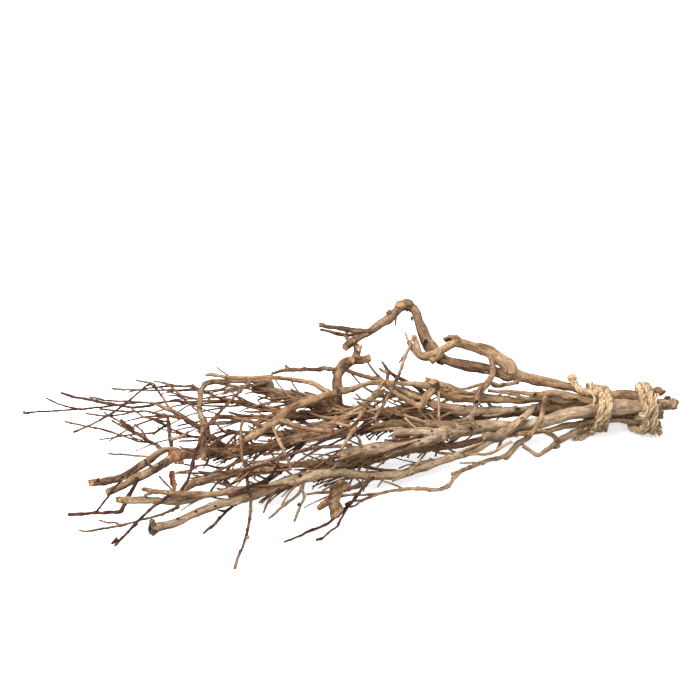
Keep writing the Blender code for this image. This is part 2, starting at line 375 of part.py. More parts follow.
stem("knotted_twig", (0.4, 0.3), [
    (277, 434.5, 1.5), (266, 433.5, 1.5), (251, 432.4, 1.5), (240, 432, 1.5), (226.5, 432, 1.8)],
    None, DARK_BARK)


# How far a point may lie off the line past it before it is kept, and how far from its
# bearer's middle line a route may start and still count as on it, in squares.
LEAST_BEND = 0.42
NEAR_AXIS = 1.2


def unit(vector):
    return vector / np.maximum(np.linalg.norm(vector, axis=-1, keepdims=True), 1e-9)


def along(route):
    """Length along a route up to each of its points, in squares."""
    steps = np.hypot(np.diff(route[:, 0]), np.diff(route[:, 1]))
    return np.concatenate([[0.0], np.cumsum(steps)])


def nearest_shares(point, starts, ends):
    """How far along each segment its nearest place to the point lies, from 0 to 1."""
    run = ends - starts
    share = ((point - starts) * run).sum(-1) / np.maximum((run * run).sum(-1), 1e-9)
    return np.clip(share, 0.0, 1.0)


def simplified(route, tolerance):
    """The route without the points that lie within the tolerance of the line past them."""
    keep = {0, len(route) - 1}
    spans = [(0, len(route) - 1)]
    while spans:
        first, last = spans.pop()
        if last - first < 2:
            continue
        inner = route[first + 1:last]
        share = nearest_shares(inner[:, :2], route[first, :2], route[last, :2])
        line = route[first] + share[:, None] * (route[last] - route[first])
        off = np.hypot(*(inner[:, :2] - line[:, :2]).T) + np.abs(inner[:, 2] - line[:, 2]) * 0.7
        worst = int(np.argmax(off))
        if off[worst] > tolerance:
            keep.add(first + 1 + worst)
            spans += [(first, first + 1 + worst), (first + 1 + worst, last)]
    return route[sorted(keep)]


def attach_strands():
    """Thins each route, and starts each branch on the axis of the branch that bears it."""
    by_node = {}
    for number, strand in enumerate(STRANDS):
        route = simplified(np.array(strand["route"], float), LEAST_BEND)
        strand["bearer"] = None
        if strand["on"]:
            best = None
            for bearer in by_node[strand["on"]]:
                line = STRANDS[bearer]["route"]
                shares = nearest_shares(route[0, :2], line[:-1, :2], line[1:, :2])
                places = line[:-1] + shares[:, None] * (line[1:] - line[:-1])
                far = np.hypot(*(places[:, :2] - route[0, :2]).T)
                k = int(np.argmin(far))
                if best is None or far[k] < best[0]:
                    best = (far[k], bearer, k, shares[k], places[k])
            far, strand["bearer"], strand["segment"], strand["share"], place = best
            start = [place[0], place[1], min(route[0, 2], place[2] * 0.9)]
            if far < NEAR_AXIS:
                route[0] = start
            else:
                route = np.vstack([start, route])
        strand["route"] = route
        by_node.setdefault(strand["node"], []).append(number)


def layered_depth(route, layers):
    """How far toward the viewer each point lies, in squares, from its layer in the bundle.

    The line of sight through a point meets the section's ellipse at two depths, and the
    layer says where the point lies between them.
    """
    across, up = route[:, 0], FLOOR_LINE - route[:, 1]
    back, height, half_width, half_height = (np.interp(across, SECTION[:, 0], SECTION[:, k]) for k in range(1, 5))
    y, z = up * math.sin(LOOKING_DOWN), up * math.cos(LOOKING_DOWN)
    toward_y, toward_z = -math.cos(LOOKING_DOWN), math.sin(LOOKING_DOWN)
    a = (toward_y / half_width) ** 2 + (toward_z / half_height) ** 2
    b = 2 * ((y - back) * toward_y / half_width ** 2 + (z - height) * toward_z / half_height ** 2)
    c = ((y - back) / half_width) ** 2 + ((z - height) / half_height) ** 2 - 1
    half_chord = np.sqrt(np.maximum(b * b - 4 * a * c, 0.0)) / (2 * a)
    lengths = along(route)
    layer = layers[0] + (layers[1] - layers[0]) * lengths / lengths[-1]
    return -b / (2 * a) + layer * half_chord


def lifted(across, down, depth):
    """World place of a point of the drawing that lies that far toward the eye, in squares.

    The upright sheet tilts back so that it faces the eye; a point moves from the sheet
    straight toward the eye, so that it looks the same from there.
    """
    up = FLOOR_LINE - down
    sheet = np.column_stack([across - MIDDLE, up * math.sin(LOOKING_DOWN), up * math.cos(LOOKING_DOWN)])
    middle_up = FLOOR_LINE - MIDDLE
    eye = np.array([
        0.0,
        middle_up * math.sin(LOOKING_DOWN) - EYE_DISTANCE * math.cos(LOOKING_DOWN),
        middle_up * math.cos(LOOKING_DOWN) + EYE_DISTANCE * math.sin(LOOKING_DOWN)])
    return sheet + (depth / EYE_DISTANCE)[:, None] * (eye - sheet)


def floor_depth(route):
    """The depth at which each point's branch lies on the surface, or on the rope at the tie."""
    up = FLOOR_LINE - route[:, 1]
    low = route[:, 2] * 1.05
    at_tie = (route[:, 0] > TIE[0]) & (route[:, 0] < TIE[1])
    low = low + np.where(at_tie, (2 * ROPE_RADIUS + 1.5 * GAP) / SQUARE, 0.0)
    middle_up = FLOOR_LINE - MIDDLE
    rise = (middle_up - up) * math.cos(LOOKING_DOWN) / EYE_DISTANCE + math.sin(LOOKING_DOWN)
    return (low - up * math.cos(LOOKING_DOWN)) / rise


# Distances in squares: the longest segment's reach plus two radii, how far a branch takes
# to leave its bearer's depth, and the length along which one crossing keeps one order.
REACH = 17.0
LEAVING = 55.0
ONE_CROSSING = 22.0
# How strongly a branch keeps its place, its slope and its bend, and how strongly forks,
# crossings and the surface are held against those.
KEEP_PLACE = 0.03
KEEP_SLOPE = 6.0
KEEP_BEND = 2.0
HOLD_FORK = 4000.0
PRESS_APART = 1500.0


class Settling:
    """The depths of all the branches' points as one set of unknowns, with what holds them.

    Each branch would keep its resting depth and its smooth run. Where two branches meet
    in the drawing they stay a clear distance apart in depth, in the order of their
    layers. A branch stays on the one that bears it, and none sinks into the surface.
    """

    def __init__(self):
        self.first = np.cumsum([0] + [len(s["route"]) for s in STRANDS])
        self.route = np.concatenate([s["route"] for s in STRANDS])
        self.count = len(self.route)
        self.length = np.concatenate([along(s["route"]) for s in STRANDS])
        self.segments = np.concatenate([
            np.column_stack([np.arange(a, b - 1), np.arange(a + 1, b)])
            for a, b in zip(self.first[:-1], self.first[1:])])
        self.owner = np.concatenate([
            np.full(b - a - 1, k) for k, (a, b) in enumerate(zip(self.first[:-1], self.first[1:]))])
        self.floor = floor_depth(self.route)
        self.resting = np.concatenate([layered_depth(s["route"], s["layers"]) for s in STRANDS])
        self.resting = np.maximum(self.resting, self.floor)
        self.start_on_bearers()
        self.fixed, self.target = self.fixed_rows()
        self.depth = self.resting.copy()
        self.meetings = self.find_meetings()

    def start_on_bearers(self):
        """Shifts the first stretch of each branch to its bearer's resting depth."""
        for k, strand in enumerate(STRANDS):
            row = slice(self.first[k], self.first[k + 1])
            if strand["bearer"] is not None:
                root = self.first[strand["bearer"]] + strand["segment"]
                there = self.resting[root] * (1 - strand["share"]) + self.resting[root + 1] * strand["share"]
                fade = np.exp(-self.length[row] / LEAVING)
                self.resting[row] = self.resting[row] + (there - self.resting[row][0]) * fade
            depth = self.resting[row]
            for _ in range(6):
                middle = (depth[:-2] + depth[2:]) / 2
                depth[1:-1] = depth[1:-1] * 0.5 + middle * 0.5
            self.resting[row] = np.maximum(depth, self.floor[row])

    def add(self, matrix, target, places, shares, wanted, weight):
        """Adds weight * (sum of shares * depths - wanted) squared to the equations."""
        for a in range(places.shape[1]):
            np.add.at(target, places[:, a], weight * shares[:, a] * wanted)
            for b in range(places.shape[1]):
                np.add.at(matrix, (places[:, a], places[:, b]), weight * shares[:, a] * shares[:, b])

    def fixed_rows(self):
        matrix = np.zeros((self.count, self.count))
        target = np.zeros(self.count)
        every = np.arange(self.count)[:, None]
        self.add(matrix, target, every, np.ones((self.count, 1)), self.resting,
                 np.full(self.count, KEEP_PLACE))
        inner = np.concatenate([np.arange(a + 1, b - 1) for a, b in zip(self.first[:-1], self.first[1:])])
        before = self.length[inner] - self.length[inner - 1]
        after = self.length[inner + 1] - self.length[inner]
        shares = np.column_stack([1 / before, -1 / before - 1 / after, 1 / after])
        places = np.column_stack([inner - 1, inner, inner + 1])
        wanted = (shares * self.resting[places]).sum(1)
        self.add(matrix, target, places, shares, wanted, KEEP_BEND * (1 + self.route[inner, 2] ** 2))
        run = self.length[self.segments[:, 1]] - self.length[self.segments[:, 0]]
        shares = np.column_stack([-np.ones(len(run)), np.ones(len(run))])
        wanted = self.resting[self.segments[:, 1]] - self.resting[self.segments[:, 0]]
        self.add(matrix, target, self.segments, shares, wanted, KEEP_SLOPE / run)
        tied = [(k, s) for k, s in enumerate(STRANDS) if s["bearer"] is not None]
        root = np.array([self.first[s["bearer"]] + s["segment"] for _, s in tied])
        share = np.array([s["share"] for _, s in tied])
        places = np.column_stack([[self.first[k] for k, _ in tied], root, root + 1])
        shares = np.column_stack([np.ones(len(tied)), share - 1, -share])
        self.add(matrix, target, places, shares, np.zeros(len(tied)), np.full(len(tied), HOLD_FORK))
        return matrix, target

    def allowed(self, first, second, t, s):
        """False for meetings at a fork, where the two pieces are meant to touch."""
        one, other = self.owner[first], self.owner[second]
        i, j = self.segments[first], self.segments[second]
        along_one = self.length[i[:, 0]] * (1 - t) + self.length[i[:, 1]] * t
        along_other = self.length[j[:, 0]] * (1 - s) + self.length[j[:, 1]] * s
        wide = self.route[i[:, 0], 2] + self.route[j[:, 0], 2]
        bearer = np.array([-1 if s["bearer"] is None else s["bearer"] for s in STRANDS])
        near = wide * 1.3 + 5
        at_fork = ((bearer[one] == other) & (along_one < near)) | ((bearer[other] == one) & (along_other < near))
        beside = (bearer[one] == bearer[other]) & (bearer[one] >= 0)
        at_fork |= beside & (along_one < near + 3) & (along_other < near + 3)
        return ~at_fork

    def find_meetings(self):
        """Rows of segment, segment, share, share, least depth apart, for every near pair."""
        place, radius = self.route[:, :2], self.route[:, 2]
        gap = GAP / SQUARE
        first, second = np.triu_indices(len(self.segments), 1)
        other = self.owner[first] != self.owner[second]
        first, second = first[other], second[other]
        a0, a1 = place[self.segments[first, 0]], place[self.segments[first, 1]]
        b0, b1 = place[self.segments[second, 0]], place[self.segments[second, 1]]
        near = ((np.minimum(a0, a1) - REACH < np.maximum(b0, b1)).all(1)
                & (np.minimum(b0, b1) - REACH < np.maximum(a0, a1)).all(1))
        first, second, a0, a1, b0, b1 = (x[near] for x in (first, second, a0, a1, b0, b1))
        u, v, w = a1 - a0, b1 - b0, b0 - a0
        turn = u[:, 0] * v[:, 1] - u[:, 1] * v[:, 0]
        safe = np.where(np.abs(turn) < 1e-9, 1e-9, turn)
        cross_t = (w[:, 0] * v[:, 1] - w[:, 1] * v[:, 0]) / safe
        cross_s = (w[:, 0] * u[:, 1] - w[:, 1] * u[:, 0]) / safe
        crosses = (cross_t > 0) & (cross_t < 1) & (cross_s > 0) & (cross_s < 1)
        always = np.ones(len(first), bool)
        zero, one = np.zeros(len(first)), np.ones(len(first))
        choices = [
            (zero, nearest_shares(a0, b0, b1), always), (one, nearest_shares(a1, b0, b1), always),
            (nearest_shares(b0, a0, a1), zero, always), (nearest_shares(b1, a0, a1), one, always),
            (np.clip(cross_t, 0, 1), np.clip(cross_s, 0, 1), crosses)]
        rows = []
        for t, s, wanted in choices:
            apart = np.hypot(*((a0 + u * t[:, None]) - (b0 + v * s[:, None])).T)
            i, j = self.segments[first], self.segments[second]
            clear = (radius[i[:, 0]] * (1 - t) + radius[i[:, 1]] * t
                     + radius[j[:, 0]] * (1 - s) + radius[j[:, 1]] * s) * 1.02 + gap
            keep = wanted & (apart < clear) & self.allowed(first, second, t, s)
            need = np.sqrt(np.maximum(clear ** 2 - apart ** 2, 0.0))
            rows.append(np.column_stack([first, second, t, s, need])[keep])
        rows = np.concatenate(rows)
        return np.column_stack([rows, self.order_of(rows)])

    def ends(self, rows):
        first, second = rows[:, 0].astype(int), rows[:, 1].astype(int)
        i, j = self.segments[first], self.segments[second]
        t, s = rows[:, 2], rows[:, 3]
        places = np.column_stack([i, j])
        shares = np.column_stack([1 - t, t, s - 1, -s])
        return places, shares

    def order_of(self, rows):
        """1 where the first branch lies nearer the viewer, decided once for each meeting."""
        places, shares = self.ends(rows)
        apart = (self.depth[places] * shares).sum(1)
        one = self.owner[rows[:, 0].astype(int)]
        other = self.owner[rows[:, 1].astype(int)]
        at = (self.length[places[:, :2]] * shares[:, :2]).sum(1)
        order = np.lexsort([at, other, one])
        fresh = np.ones(len(rows), bool)
        fresh[1:] = ((one[order][1:] != one[order][:-1]) | (other[order][1:] != other[order][:-1])
                     | (at[order][1:] - at[order][:-1] > ONE_CROSSING))
        group = np.empty(len(rows), int)
        group[order] = np.cumsum(fresh) - 1
        total = np.bincount(group, weights=apart)
        side = np.where(total[group] >= 0, 1.0, -1.0)
        for k in range(len(rows)):
            above, below = STRANDS[one[k]], STRANDS[other[k]]
            if below["node"] in above["over"] or above["node"] in below["under"]:
                side[k] = 1.0
            elif above["node"] in below["over"] or below["node"] in above["under"]:
                side[k] = -1.0
        return side

    def press(self, rounds):
        """Newton steps on the meetings and floor points that are violated at the time."""
        every = np.arange(self.count)[:, None]
        for step in range(rounds):
            matrix, target = self.fixed.copy(), self.target.copy()
            places, shares = self.ends(self.meetings)
            need, side = self.meetings[:, 4], self.meetings[:, 5]
            short = need - side * (self.depth[places] * shares).sum(1) > 0
            self.add(matrix, target, places[short], shares[short] * side[short, None], need[short],
                     np.full(short.sum(), PRESS_APART))
            sunk = self.depth < self.floor
            self.add(matrix, target, every[sunk], np.ones((sunk.sum(), 1)), self.floor[sunk],
                     np.full(sunk.sum(), PRESS_APART))
            found = np.linalg.solve(matrix, target)
            self.depth += (found - self.depth) * (0.6 if step < rounds * 0.6 else 0.9)

    def tighten(self):
        """Adds a row wherever two branches' centre lines come too near in space between rows."""
        places = lifted(self.route[:, 0], self.route[:, 1], self.depth)
        first, second = np.triu_indices(len(self.segments), 1)
        other = self.owner[first] != self.owner[second]
        first, second = first[other], second[other]
        a0, a1 = places[self.segments[first, 0]], places[self.segments[first, 1]]
        b0, b1 = places[self.segments[second, 0]], places[self.segments[second, 1]]
        near = ((np.minimum(a0, a1) - REACH < np.maximum(b0, b1)).all(1)
                & (np.minimum(b0, b1) - REACH < np.maximum(a0, a1)).all(1))
        first, second, a0, a1, b0, b1 = (x[near] for x in (first, second, a0, a1, b0, b1))
        u, v, w = a1 - a0, b1 - b0, a0 - b0
        uu, uv, vv = (u * u).sum(1), (u * v).sum(1), (v * v).sum(1)
        uw, vw = (u * w).sum(1), (v * w).sum(1)
        t = np.clip((uv * vw - vv * uw) / np.maximum(uu * vv - uv * uv, 1e-6), 0, 1)
        s = np.clip((uv * t + vw) / vv, 0, 1)
        t = np.clip((uv * s - uw) / uu, 0, 1)
        space = np.linalg.norm((a0 + u * t[:, None]) - (b0 + v * s[:, None]), axis=1)
        i, j = self.segments[first], self.segments[second]
        radius = self.route[:, 2]
        clear = (radius[i[:, 0]] * (1 - t) + radius[i[:, 1]] * t
                 + radius[j[:, 0]] * (1 - s) + radius[j[:, 1]] * s) * 1.02 + GAP / SQUARE
        drawn = self.route[:, :2]
        one = drawn[i[:, 0]] * (1 - t)[:, None] + drawn[i[:, 1]] * t[:, None]
        two = drawn[j[:, 0]] * (1 - s)[:, None] + drawn[j[:, 1]] * s[:, None]
        apart = np.hypot(*(one - two).T)
        keep = (space < clear) & (apart < clear) & self.allowed(first, second, t, s)
        need = np.sqrt(np.maximum(clear ** 2 - apart ** 2, 0.0)) * 1.05
        rows = np.column_stack([first, second, t, s, need])[keep]
        ends, shares = self.ends(rows)
        side = np.where((self.depth[ends] * shares).sum(1) >= 0, 1.0, -1.0)
        known = self.meetings
        known_pair = self.owner[known[:, :2].astype(int)]
        for k in range(len(rows)):
            pair = self.owner[rows[k, :2].astype(int)]
            same = np.flatnonzero((known_pair == pair).all(1))
            if len(same):
                off = np.abs(self.length[self.segments[known[same, 0].astype(int), 0]] - self.length[ends[k, 0]])
                side[k] = known[same[np.argmin(off)], 5]
        self.meetings = np.concatenate([self.meetings, np.column_stack([rows, side])])
        return len(rows)


def settle():
    attach_strands()
    settling = Settling()
    settling.press(40)
    for _ in range(4):
        if settling.tighten() == 0:
            break
        settling.press(14)
    for k, strand in enumerate(STRANDS):
        row = slice(settling.first[k], settling.first[k + 1])
        depth = settling.depth[row]
        if strand["bearer"] is not None:
            root = settling.first[strand["bearer"]] + strand["segment"]
            ends = settling.depth[root:root + 2]
            depth[0] = ends[0] * (1 - strand["share"]) + ends[1] * strand["share"]
        strand["depth"] = depth
        points = lifted(strand["route"][:, 0], strand["route"][:, 1], depth) * SQUARE
        points[:, 0] += LINE_PLACE[0]
        points[:, 1] += LINE_PLACE[1]
        strand["points"] = points
        strand["radii"] = strand["route"][:, 2] * (1 - depth / EYE_DISTANCE) * SQUARE


def outside(places, strand):
    """Distance from each place to the surface of a branch, whose two ends are flat."""
    line, radii = strand["points"], strand["radii"]
    run = np.diff(line, axis=0)
    share = ((places[:, None] - line[:-1]) * run).sum(-1) / (run * run).sum(-1)
    held = np.clip(share, 0.0, 1.0)
    axis_place = line[:-1] + held[..., None] * run
    wide = radii[:-1] * (1 - held) + radii[1:] * held
    clear = np.linalg.norm(places[:, None] - axis_place, axis=-1) - wide
    for end, sense in ((0, -1.0), (-1, 1.0)):
        outward = unit(run[end]) * sense
        ahead = (places - line[end]) @ outward
        aside = np.linalg.norm(places - line[end] - ahead[:, None] * outward, axis=1)
        past_end = np.hypot(np.maximum(ahead, 0.0), np.maximum(aside - radii[end], 0.0))
        clear[:, end] = np.where(ahead > 0, past_end, clear[:, end])
    return clear.min(1)


def rim(place, direction, radius, corners=12):
    """Points round the edge of a branch's flat end."""
    side = unit(np.cross(direction, (0.3, 0.5, 0.81)))
    other = np.cross(direction, side)
    angle = np.linspace(0.0, 2 * math.pi, corners, endpoint=False)[:, None]
    return place + radius * (np.cos(angle) * side + np.sin(angle) * other)


def end_rims(strand):
    """Points round both flat ends of a branch, and inside them."""
    line, radii = strand["points"], strand["radii"]
    first, last = unit(line[1] - line[0]), unit(line[-1] - line[-2])
    return np.vstack([rim(place, direction, radius * share, 16)
                      for place, direction, radius in ((line[0], first, radii[0]), (line[-1], last, radii[-1]))
                      for share in (0.5, 0.8, 1.0)])


def start_clear_of_bearer(strand, rivals, step=0.0004, reach=0.024):
    """Cuts the root of a branch back until its flat end clears what it grows from."""
    line, radii = strand["points"], strand["radii"]
    length = np.concatenate([[0.0], np.cumsum(np.linalg.norm(np.diff(line, axis=0), axis=1))])

    def cut_at(at):
        """The centre line and radii from that length on, with no crowded first points."""
        place = np.array([np.interp(at, length, line[:, k]) for k in range(3)])
        radius = np.interp(at, length, radii)
        keep = length > at + 0.9 * radius
        keep[-1] = True
        return np.vstack([place, line[keep]]), np.concatenate([[radius], radii[keep]])

    start = 0.0
    for at in np.arange(0.0, min(reach, length[-1] * 0.7), step):
        points, wide = cut_at(at)
        run = points[1] - points[0]
        edge = np.vstack([
            rim(points[0] + run * share, unit(run), (wide[0] + (wide[1] - wide[0]) * share) * 1.04)
            for share in (0.0, 0.35, 0.7, 1.0)] + [
            rim(points[0], unit(run), wide[0] * share) for share in (0.0, 0.4, 0.7)])
        here = {"points": points, "radii": wide}
        if any(outside(edge, rival).min() < FORK_GAP or outside(end_rims(rival), here).min() < FORK_GAP
               for rival in rivals):
            start = at + step
    strand["points"], strand["radii"] = cut_at(start)


def part_forks():
    """Leaves a hairline at each fork between a branch and the separate piece that bears it."""
    for k, strand in enumerate(STRANDS):
        if strand["bearer"] is None or STRANDS[strand["bearer"]]["node"] == strand["node"]:
            continue
        rivals = [s for s in STRANDS[:k] if s["node"] == strand["on"]]
        rivals += [s for s in STRANDS[:k] if s["bearer"] == strand["bearer"] and s["node"] != strand["node"]]
        start_clear_of_bearer(strand, rivals)


def material(name, color, roughness=0.85):
    made = bpy.data.materials.get(name)
    if made is None:
        made = bpy.data.materials.new(name)
        made.use_nodes = True
        shader = made.node_tree.nodes["Principled BSDF"]
        shader.inputs["Base Color"].default_value = (*color, 1)
        shader.inputs["Roughness"].default_value = roughness
    return made


BARK_NAMES = {TAN_BARK: "tan bark", BROWN_BARK: "brown bark", RED_BARK: "red bark", DARK_BARK: "dark bark"}


def tube(name, points, radii, sides, collection):
    """A closed mesh tube along a line of points, with flat ends."""
    curve = bpy.data.curves.new(name, "CURVE")
    curve.dimensions = "3D"
    curve.bevel_depth = 0.001
    curve.bevel_resolution = (sides - 4) // 2
    curve.use_fill_caps = True
    spline = curve.splines.new("POLY")
    spline.points.add(len(points) - 1)
    for point, place, radius in zip(spline.points, points, radii):
        point.co = (*place, 1)
        point.radius = radius / curve.bevel_depth
    guide = bpy.data.objects.new(name + "_guide", curve)
    collection.objects.link(guide)
    bpy.context.view_layer.update()
    mesh = bpy.data.meshes.new_from_object(guide.evaluated_get(bpy.context.evaluated_depsgraph_get()))
    place = guide.matrix_world.copy()
    bpy.data.objects.remove(guide)
    welded = bmesh.new()
    welded.from_mesh(mesh)
    bmesh.ops.remove_doubles(welded, verts=welded.verts, dist=1e-6)
    bmesh.ops.recalc_face_normals(welded, faces=welded.faces)
    welded.to_mesh(mesh)
    welded.free()
    mesh.shade_smooth()
    made = bpy.data.objects.new(name, mesh)
    made.matrix_world = place
    collection.objects.link(made)
    return made


def join_on(target, other):
    """Makes one body of the target and a twig whose root is sunk in it."""
    union = target.modifiers.new("with " + other.name, "BOOLEAN")
    union.operation = "UNION"
    union.solver = "EXACT"
    union.object = other
    other.hide_render = True
    other.display_type = "WIRE"


def sides_of(radii):
    widest = radii.max() / SQUARE
    return 8 if widest > 4.4 else 6 if widest > 2.4 else 4


def build_wood(parts, helpers):
    """One object for each node: its own branch with its twigs joined on."""
    made = {}
    for strand in STRANDS:
        node = strand["node"]
        sides = sides_of(strand["radii"])
        if node not in made:
            made[node] = tube(node, strand["points"], strand["radii"], sides, parts)
            made[node].data.materials.append(material(BARK_NAMES[strand["bark"]], strand["bark"]))
        else:
            join_on(made[node], tube(node + "_twig", strand["points"], strand["radii"], sides, helpers))


# The stems that the rope goes round: their main branches reach past this place.
PAST_THE_ROPE = 0.23
TIED_STEMS = ("upper_limb", "lower_limb", "gnarled_stem", "middle_stem", "looped_twig", "under_stem",
              "long_stem", "far_stem", "back_stem")


def across_to_x(across):
    """World x of a place on the rope, which lies about this far in front of the sheet."""
    rope_depth = 20.0
    return (across - MIDDLE) * (1 - rope_depth / EYE_DISTANCE) * SQUARE + LINE_PLACE[0]


def tied_circles(x):
    """Middle and radius of each tied stem where the bundle is cut across at x."""
    circles = []
    for strand in STRANDS:
        if strand["node"] in TIED_STEMS and strand["points"][:, 0].max() > PAST_THE_ROPE:
            line, radii = strand["points"][::-1], strand["radii"][::-1]
            if line[0, 0] - 0.001 < x < line[-1, 0] + 0.006:
                columns = (line[:, 1], line[:, 2], radii)
                circles.append([np.interp(x, line[:, 0], values) for values in columns])
    return np.array(circles)


def round_the_stems(across, degrees, lift=0.0):
    """Place on the rope that lies on the tied stems, at an angle up from the viewer's side."""
    x = across_to_x(across)
    outward = np.array([-math.cos(math.radians(degrees)), math.sin(math.radians(degrees))])
    best = None
    for shift in (-1.3, -0.6, 0.0, 0.6, 1.3):
        for y, z, radius in tied_circles(x + shift * ROPE_RADIUS):
            reach = y * outward[0] + z * outward[1] + radius
            if best is None or reach > best[0]:
                best = (reach, y, z, radius)
    _, y, z, radius = best
    room = radius + GAP + ROPE_RADIUS + lift
    return (x, y + outward[0] * room, max(z + outward[1] * room, ROPE_RADIUS * 1.02))


STEPS_PER_TURN = 14


def rope_coil(across, degrees, turns, slant):
    """Turns that lean: each runs one rope's width along, and its top leans by the slant."""
    pitch = (2 * ROPE_RADIUS + GAP) / SQUARE
    places = []
    for k in range(STEPS_PER_TURN * turns + 1):
        share = k / STEPS_PER_TURN
        angle = degrees + 360 * share
        lean = slant * (math.sin(math.radians(angle)) - math.sin(math.radians(degrees)))
        places.append(round_the_stems(across + pitch * share + lean, angle))
    return places


def build_rope(parts, helpers):
    """One rope: a knotted end on top, two turns, a run under the stems, two turns, an end."""
    places = [round_the_stems(573, 95), round_the_stems(580, 93), round_the_stems(587, 92)]
    places += rope_coil(593, 100, 2, 1.5)
    for share in np.linspace(0.08, 0.94, 15):
        places.append(round_the_stems(607 + 38 * share ** 1.5, 100 + 210 * share ** 0.7, 0.0003))
    places += rope_coil(645, 310, 2, -4.0)
    places = np.array(places)
    radii = np.full(len(places), ROPE_RADIUS)
    radii[0] = 1.5 * ROPE_RADIUS
    places[0, 2] += 0.5 * ROPE_RADIUS
    rope = tube("jute_rope", places, radii, 6, parts)
    rope.data.materials.append(material("jute", JUTE, 0.95))
    tail = np.array([(597, 427.5, 3.2), (591, 431, 3.3), (584, 435.5, 3.4), (578, 439, 2.6)])
    low = lifted(tail[:, 0], tail[:, 1], floor_depth(tail)) * SQUARE
    low[:, :2] += LINE_PLACE
    low[:, 2] = tail[:, 2] * SQUARE
    low[0] = round_the_stems(599, -50)
    join_on(rope, tube("rope_tail", low, tail[:, 2] * SQUARE, 6, helpers))


LEAVES = (
    ("curled_leaf", [(345, 480, 4), (341.5, 486, 7), (337, 493, 7), (334, 500, 6), (336, 508, 6.5),
                     (335.5, 514, 4.5), (332.5, 518.5, 2)]),
    ("leaf_scrap", [(173, 449, 3), (176, 454, 4.5), (178, 460, 5), (181, 464, 3)]),
    ("rolled_leaf", [(172, 470, 2), (171.5, 476, 3), (173, 482, 3), (174.5, 490, 2)]),
)


def front_depth(across, down, wide):
    """The least depth at which something this wide is in front of every branch there."""
    front = -1e9
    for strand in STRANDS:
        route, depth = strand["route"], strand["depth"]
        for k in range(len(route) - 1):
            for share in np.linspace(0, 1, 9):
                u, v, r = route[k] * (1 - share) + route[k + 1] * share
                if math.hypot(u - across, v - down) < wide + r:
                    front = max(front, depth[k] * (1 - share) + depth[k + 1] * share + r)
    return front


def build_leaves(parts):
    """Dry leaf scraps caught on the front of the bundle, each a thin curled blade."""
    for name, route in LEAVES:
        route = np.array(route, float)
        room = (GAP + LEAF_THICKNESS) / SQUARE + 1
        depth = max(front_depth(u, v, wide + 2) for u, v, wide in route) + room
        low = route.copy()
        low[:, 2] = 1.5
        depths = np.maximum(depth, floor_depth(low))
        direction = unit(np.gradient(route[:, :2], axis=0))
        across_way = np.column_stack([-direction[:, 1], direction[:, 0]])
        rows = []
        for side in np.linspace(-1, 1, 5):
            edge = route[:, :2] + across_way * (side * route[:, 2])[:, None]
            curl = route[:, 2] * 0.35 * side * side
            rows.append(lifted(edge[:, 0], edge[:, 1], depths + curl) * SQUARE)
        grid = np.array(rows)
        grid[..., :2] += LINE_PLACE
        count = len(route)
        faces = [(a * count + b, a * count + b + 1, (a + 1) * count + b + 1, (a + 1) * count + b)
                 for a in range(4) for b in range(count - 1)]
        mesh = bpy.data.meshes.new(name)
        mesh.from_pydata(grid.reshape(-1, 3).tolist(), [], faces)
        mesh.materials.append(material("dry leaf", DRY_LEAF, 0.8))
        made = bpy.data.objects.new(name, mesh)
        parts.objects.link(made)
        thick = made.modifiers.new("blade", "SOLIDIFY")
        thick.thickness = LEAF_THICKNESS
        thick.offset = 0.0


def main():
    for old in list(bpy.data.objects):
        bpy.data.objects.remove(old)
    parts = bpy.data.collections.new("bundle_of_twigs")
    helpers = bpy.data.collections.new("helpers")
    for made in (parts, helpers):
        bpy.context.scene.collection.children.link(made)
    settle()
    part_forks()
    build_wood(parts, helpers)
    build_rope(parts, helpers)
    build_leaves(parts)


main()
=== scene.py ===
"""Looks of the bundle of twigs: its bark and broken ends, jute rope, leaf scraps and studio."""

import math

import bpy
import numpy as np
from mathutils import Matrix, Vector
from mathutils.bvhtree import BVHTree


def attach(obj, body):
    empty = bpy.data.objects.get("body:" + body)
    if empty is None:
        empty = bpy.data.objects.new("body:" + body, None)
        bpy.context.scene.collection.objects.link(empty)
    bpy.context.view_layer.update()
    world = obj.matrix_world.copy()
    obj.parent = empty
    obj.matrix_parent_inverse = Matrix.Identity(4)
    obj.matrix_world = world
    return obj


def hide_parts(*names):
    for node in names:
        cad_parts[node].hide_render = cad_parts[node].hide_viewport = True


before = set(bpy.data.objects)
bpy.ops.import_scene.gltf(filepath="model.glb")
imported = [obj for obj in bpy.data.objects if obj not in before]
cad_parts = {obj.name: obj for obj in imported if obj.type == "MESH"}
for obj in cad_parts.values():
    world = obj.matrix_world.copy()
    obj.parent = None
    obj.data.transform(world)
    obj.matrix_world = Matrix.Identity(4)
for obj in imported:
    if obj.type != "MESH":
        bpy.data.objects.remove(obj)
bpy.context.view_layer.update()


# The eye and the drawing
# The branches are drawn on a sheet of squares, counted right and down, that an eye sees from
# in front and a little above. The camera stands at that eye, so a square is a pixel there.
SQUARE = 0.600 / 636.5
SHEET_WIDTH = 700
SHEET_MIDDLE = 350
EYE_SQUARES = 1651
LOOKING_DOWN = math.radians(30)
SHEET_RISE = 78
FOOT_OF_SHEET = np.array((-0.0036, 0.0756, 0.0))
RIGHT = np.array((1.0, 0.0, 0.0))
UP = np.array((0.0, math.sin(LOOKING_DOWN), math.cos(LOOKING_DOWN)))
FORWARD = np.array((0.0, math.cos(LOOKING_DOWN), -math.sin(LOOKING_DOWN)))
EYE = FOOT_OF_SHEET + SQUARE * (SHEET_RISE * UP - EYE_SQUARES * FORWARD)
SENSOR = 36

